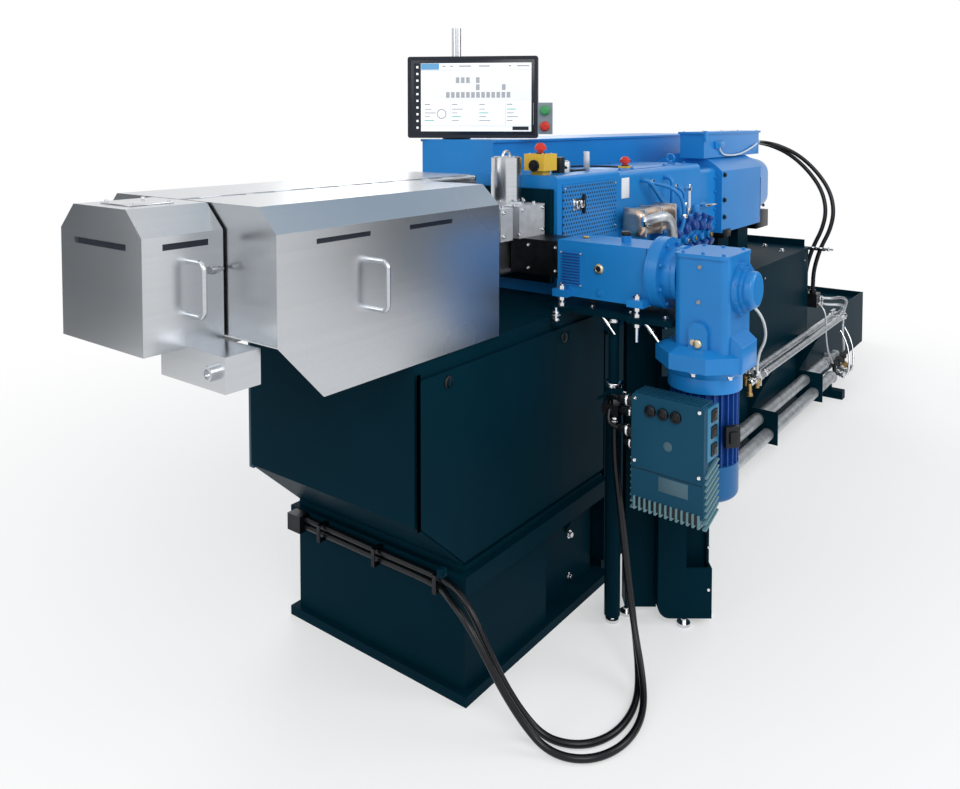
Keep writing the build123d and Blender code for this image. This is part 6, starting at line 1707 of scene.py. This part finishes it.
class EXTRUDER_OT_screen(bpy.types.Operator):
    """Add the screen's display, its buttons and the stop buttons' rims"""

    bl_idname = "extruder.screen"
    bl_label = "Screen details"

    def execute(self, context):
        border = screen_block(0, 0, -0.0020, 0.5265, 0.3165, 0.0020, 0.0006)
        dress(border, "display_border", "dark_screen_and_shade", "screen")
        display = screen_block(0, 0.0, -0.0008, 0.500, 0.288, 0.0008)
        dress(display, "display", "display", "screen")
        level = -0.0002
        darks = [screen_block(-0.235, 0.0, level, 0.030, 0.288, 0.0006),
                 screen_block(0.205, -0.131, level, 0.068, 0.015, 0.0006)]
        greys = [screen_block(0.015, 0.114, level, 0.470, 0.0016, 0.0006),
                 screen_block(0.015, -0.121, level, 0.470, 0.0016, 0.0006)]
        pales = [screen_block(0.015, 0.046, level, 0.468, 0.128, 0.0004)]
        whites = []
        blues = [screen_block(-0.180, 0.130, level, 0.078, 0.026, 0.0006)]
        greens = []
        for index in range(10):
            whites.append(
                screen_block(-0.235, 0.128 - 0.0285 * index, level + 0.0004, 0.009, 0.009, 0.0006)
            )
        for index in range(13):
            greys.append(
                screen_block(-0.104 + 0.0215 * index, 0.010, level + 0.0003, 0.0150, 0.024, 0.0006)
            )
        for across, up in (
            (-0.062, 0.072), (-0.040, 0.072), (-0.018, 0.072), (0.024, 0.072), (0.024, 0.042),
            (0.134, 0.042),
        ):
            greys.append(screen_block(across, up, level + 0.0003, 0.0150, 0.024, 0.0006))
        for across, width in (
            (-0.120, 0.014), (-0.088, 0.014), (-0.030, 0.052), (0.052, 0.046), (0.160, 0.012),
            (0.215, 0.052),
        ):
            greys.append(screen_block(across, 0.131, level, width, 0.006, 0.0006))
        for index in range(4):
            left = -0.204 + 0.117 * index
            greys.append(screen_block(left + 0.112, -0.070, level, 0.0012, 0.092, 0.0006))
            greys.append(screen_block(left + 0.012, -0.030, level, 0.024, 0.005, 0.0006))
            for row in range(4):
                width = (0.030, 0.048, 0.024, 0.040)[(row + index) % 4]
                piece = screen_block(left + width / 2, -0.050 - 0.016 * row, level, width, 0.004, 0.0006)
                (greens if (row + index) % 4 == 3 else greys).append(piece)
        wheel = ring(on_screen(-0.131, -0.070, level + 0.0003), SCREEN_OUT, 0.019, 0.0022, 36)
        dress(joined(darks), "display_bars", "dark_screen_and_shade", "screen")
        dress(joined(pales), "display_field", "display_pale", "screen")
        dress(joined(greys + [wheel]), "display_greys", "display_grey", "screen")
        dress(joined(blues), "display_blues", "display_blue", "screen")
        dress(joined(whites), "display_icons", "display", "screen")
        dress(joined(greens), "display_greens", "display_green", "screen")
        # Button station: a green button above a red one
        for up, finish, name in ((-0.0565, "green", "start_button"), (-0.1225, "red", "halt_button")):
            button = turned(
                on_screen(0.3075, up, 0.0140), SCREEN_OUT,
                [
                    (0, 0.0205), (0.006, 0.0205), (0.006, 0.0175), (0.020, 0.0175), (0.023, 0.0150),
                    (0.0235, 0.0100),
                ],
                32, 0.0006, 1,
            )
            dress(button, name, finish, "screen")
        vents = [
            screen_block(0, -0.100 + 0.014 * step, -0.0484, 0.200, 0.005, 0.0020)
            for step in range(8)
        ]
        dress(joined(vents), "screen_vents", "black_plastic_and_shade", "screen")
        fasteners(
            "screen_screws",
            [on_screen(across, up, -0.048) for across in (-0.250, 0.250) for up in (-0.150, 0.150)],
            -SCREEN_OUT, 0.009, 0.004, "chrome", recess=True, body="screen",
        )
        # Rims of the two stop buttons, screws of the front stop box and its gland
        for x, y, z, name in ((0.154, -0.074, 1.525, "front"), (0.800, -0.090, 1.452, "rear")):
            collar = turned(
                (x, y, z), (0, 0, 1), [(0, 0.0170), (0.004, 0.0170), (0.004, 0.0125)], 28, 0.0005, 1,
            )
            dress(collar, "stop_collar_" + name, "black_plastic_and_shade")
        fasteners("stop_box_screws", [
            (x, y, 1.525) for x in (0.125, 0.183) for y in (-0.103, -0.045)
        ], (0, 0, 1), 0.008, 0.003, "chrome", recess=True)
        box_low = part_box("stop_boxes")[0]
        gland = joined([
            turned(
                (box_low[0], -0.076, 1.482), (-1, 0, 0), [(0, 0.0220), (0.007, 0.0220)], 20, 0.0010, 1,
            ),
            turned(
                (box_low[0] - 0.007, -0.076, 1.482), (-1, 0, 0), [(0, 0.0120), (0.008, 0.0120)], 8,
                0.0008, 1,
            ),
        ])
        dress(gland, "stop_gland", "black_plastic_and_shade")
        # Connector, fitting and angle behind the front stop box
        lead = joined([
            block((0.262, -0.092, 1.440), (0.300, -0.052, 1.508), 0.003),
            tube(
                [
                    (0.298, -0.072, 1.470), (0.330, -0.072, 1.470), (0.360, -0.074, 1.452),
                    (0.420, -0.076, 1.449), (0.470, -0.078, 1.449),
                ],
                0.006,
            ),
        ])
        dress(lead, "connector_lead", "black_plastic_and_shade")
        fitting = turned(
            (0.350, -0.060, 1.440), (0, 0, 1), [(0, 0.021), (0.046, 0.021), (0.052, 0.013)], 20, 0.0010,
            1,
        )
        dress(fitting, "connector_fitting", "galvanised")
        angle = joined([
            block((0.478, -0.096, 1.440), (0.484, -0.070, 1.524), 0.0010),
            block((0.478, -0.096, 1.440), (0.510, -0.070, 1.448), 0.0010),
        ])
        dress(angle, "connector_angle", "galvanised")
        return {"FINISHED"}


class EXTRUDER_OT_cluster(bpy.types.Operator):
    """Add the clusters of small valves at the pipes' ends"""

    bl_idname = "extruder.cluster"
    bl_label = "Valve clusters"

    def execute(self, context):
        brights = []
        golds = []
        darks = []
        for y in (PIPE_NEAR, PIPE_FAR):
            brights.append(
                turned((1.492, y, UPPER_PIPES), (-1, 0, 0), [(0, 0.023), (0.016, 0.023)], 6, 0.0012, 1)
            )
            golds.append(
                turned(
                    (1.470, y, UPPER_PIPES), (0, 0, -1),
                    [(0, 0.019), (0.030, 0.019), (0.030, 0.013), (0.046, 0.013)], 6, 0.0010, 1,
                )
            )
            brights.append(
                turned(
                    (1.471, y, 0.436), (0, 0, 1), [(0, 0.017), (0.016, 0.017), (0.020, 0.012)], 6, 0.0010,
                    1,
                )
            )
        brights.append(
            rod((1.430, PIPE_NEAR, UPPER_PIPES), (1.476, PIPE_NEAR, UPPER_PIPES), 0.012, 16, 0.0008)
        )
        brights.append(
            turned((1.418, PIPE_NEAR, UPPER_PIPES), (1, 0, 0), [(0, 0.019), (0.018, 0.019)], 6, 0.0010, 1)
        )
        brights += ball_valve((1.395, PIPE_NEAR, UPPER_PIPES), (1, 0, 0), 0.026, (0, -0.3, 1), -0.060)
        golds.append(
            turned(
                (1.366, PIPE_NEAR, UPPER_PIPES), (0, 0, -1),
                [(0, 0.013), (0.040, 0.013), (0.040, 0.018), (0.058, 0.018)], 6, 0.0010, 1,
            )
        )
        darks.append(
            turned((1.395, -0.458, 0.446), (0, -0.3, 1), [(0, 0.014), (0.006, 0.014)], 16, 0.0008, 1)
        )
        dress(joined(brights), "left_valve_cluster", "chrome")
        dress(joined(golds), "left_valve_brass", "brass")
        dress(joined(darks), "left_valve_knob", "black_plastic_and_shade")
        # Row of valves past the lower pipes' ends
        brights = []
        golds = []
        darks = []
        for index, x in enumerate((2.873, 2.973, 3.073)):
            darks.append(
                turned(
                    (x, PIPE_NEAR, 0.122), (0, 0, 1),
                    [(0, 0.012), (0.030, 0.012), (0.030, 0.021), (0.052, 0.021), (0.056, 0.016)], 18,
                    0.0010, 1,
                )
            )
            darks.append(
                rod((x - 0.006, PIPE_NEAR, 0.176), (x + 0.052, -0.462, 0.196), 0.006, 12, 0.0010)
            )
            brights.append(
                turned(
                    (x, -0.478, LOWER_PIPES), (0, -1, 0),
                    [(0, 0.014), (0.014, 0.014), (0.014, 0.019), (0.032, 0.019)], 6, 0.0010, 1,
                )
            )
            (golds if index == 2 else brights).append(
                turned(
                    (x + 0.040, PIPE_NEAR, LOWER_PIPES), (1, 0, 0), [(0, 0.024), (0.016, 0.024)], 6,
                    0.0012, 1,
                )
            )
        for x in (2.873, 2.973):
            brights.append(
                tube(
                    [
                        (x, -0.508, LOWER_PIPES), (x, -0.530, 0.110), (x + 0.030, -0.530, 0.190),
                        (x + 0.080, -0.500, 0.290), (x + 0.085, -0.460, 0.350),
                    ],
                    0.0055,
                )
            )
        dress(joined(brights), "right_valve_fittings", "chrome")
        dress(joined(golds), "right_valve_brass", "brass")
        dress(joined(darks), "right_valve_handles", "black_plastic_and_shade")
        return {"FINISHED"}


# Panel and registration

OPERATORS = [
    EXTRUDER_OT_finishes, EXTRUDER_OT_stage, EXTRUDER_OT_cords, EXTRUDER_OT_hoods, EXTRUDER_OT_cabinet,
    EXTRUDER_OT_feeder, EXTRUDER_OT_inverter, EXTRUDER_OT_stand, EXTRUDER_OT_drive, EXTRUDER_OT_oil,
    EXTRUDER_OT_pipes, EXTRUDER_OT_base, EXTRUDER_OT_screen, EXTRUDER_OT_cluster,
]


class EXTRUDER_PT_panel(bpy.types.Panel):
    """The extruder's sizes, colours and steps"""

    bl_idname = "EXTRUDER_PT_panel"
    bl_label = "Plastic extruder"
    bl_space_type = "VIEW_3D"
    bl_region_type = "UI"
    bl_category = "Extruder"

    def draw(self, context):
        layout = self.layout
        for settings in (context.scene.extruder_paint, context.scene.extruder_stage,
                         context.scene.extruder_detail):
            for name in settings.bl_rna.properties.keys():
                if name not in ("rna_type", "name"):
                    layout.prop(settings, name)
        for operator in OPERATORS:
            layout.operator(operator.bl_idname)


SETTINGS = {
    "extruder_paint": PaintSettings,
    "extruder_stage": StageSettings,
    "extruder_detail": DetailSettings,
}


def register():
    for name, settings in SETTINGS.items():
        bpy.utils.register_class(settings)
        setattr(bpy.types.Scene, name, bpy.props.PointerProperty(type=settings))
    for operator in OPERATORS:
        bpy.utils.register_class(operator)
    bpy.utils.register_class(EXTRUDER_PT_panel)


def unregister():
    bpy.utils.unregister_class(EXTRUDER_PT_panel)
    for operator in reversed(OPERATORS):
        bpy.utils.unregister_class(operator)
    for name, settings in reversed(SETTINGS.items()):
        delattr(bpy.types.Scene, name)
        bpy.utils.unregister_class(settings)


def main():
    register()
    for operator in OPERATORS:
        group, step = operator.bl_idname.split(".")
        getattr(getattr(bpy.ops, group), step)()


if __name__ == "__main__":
    main()
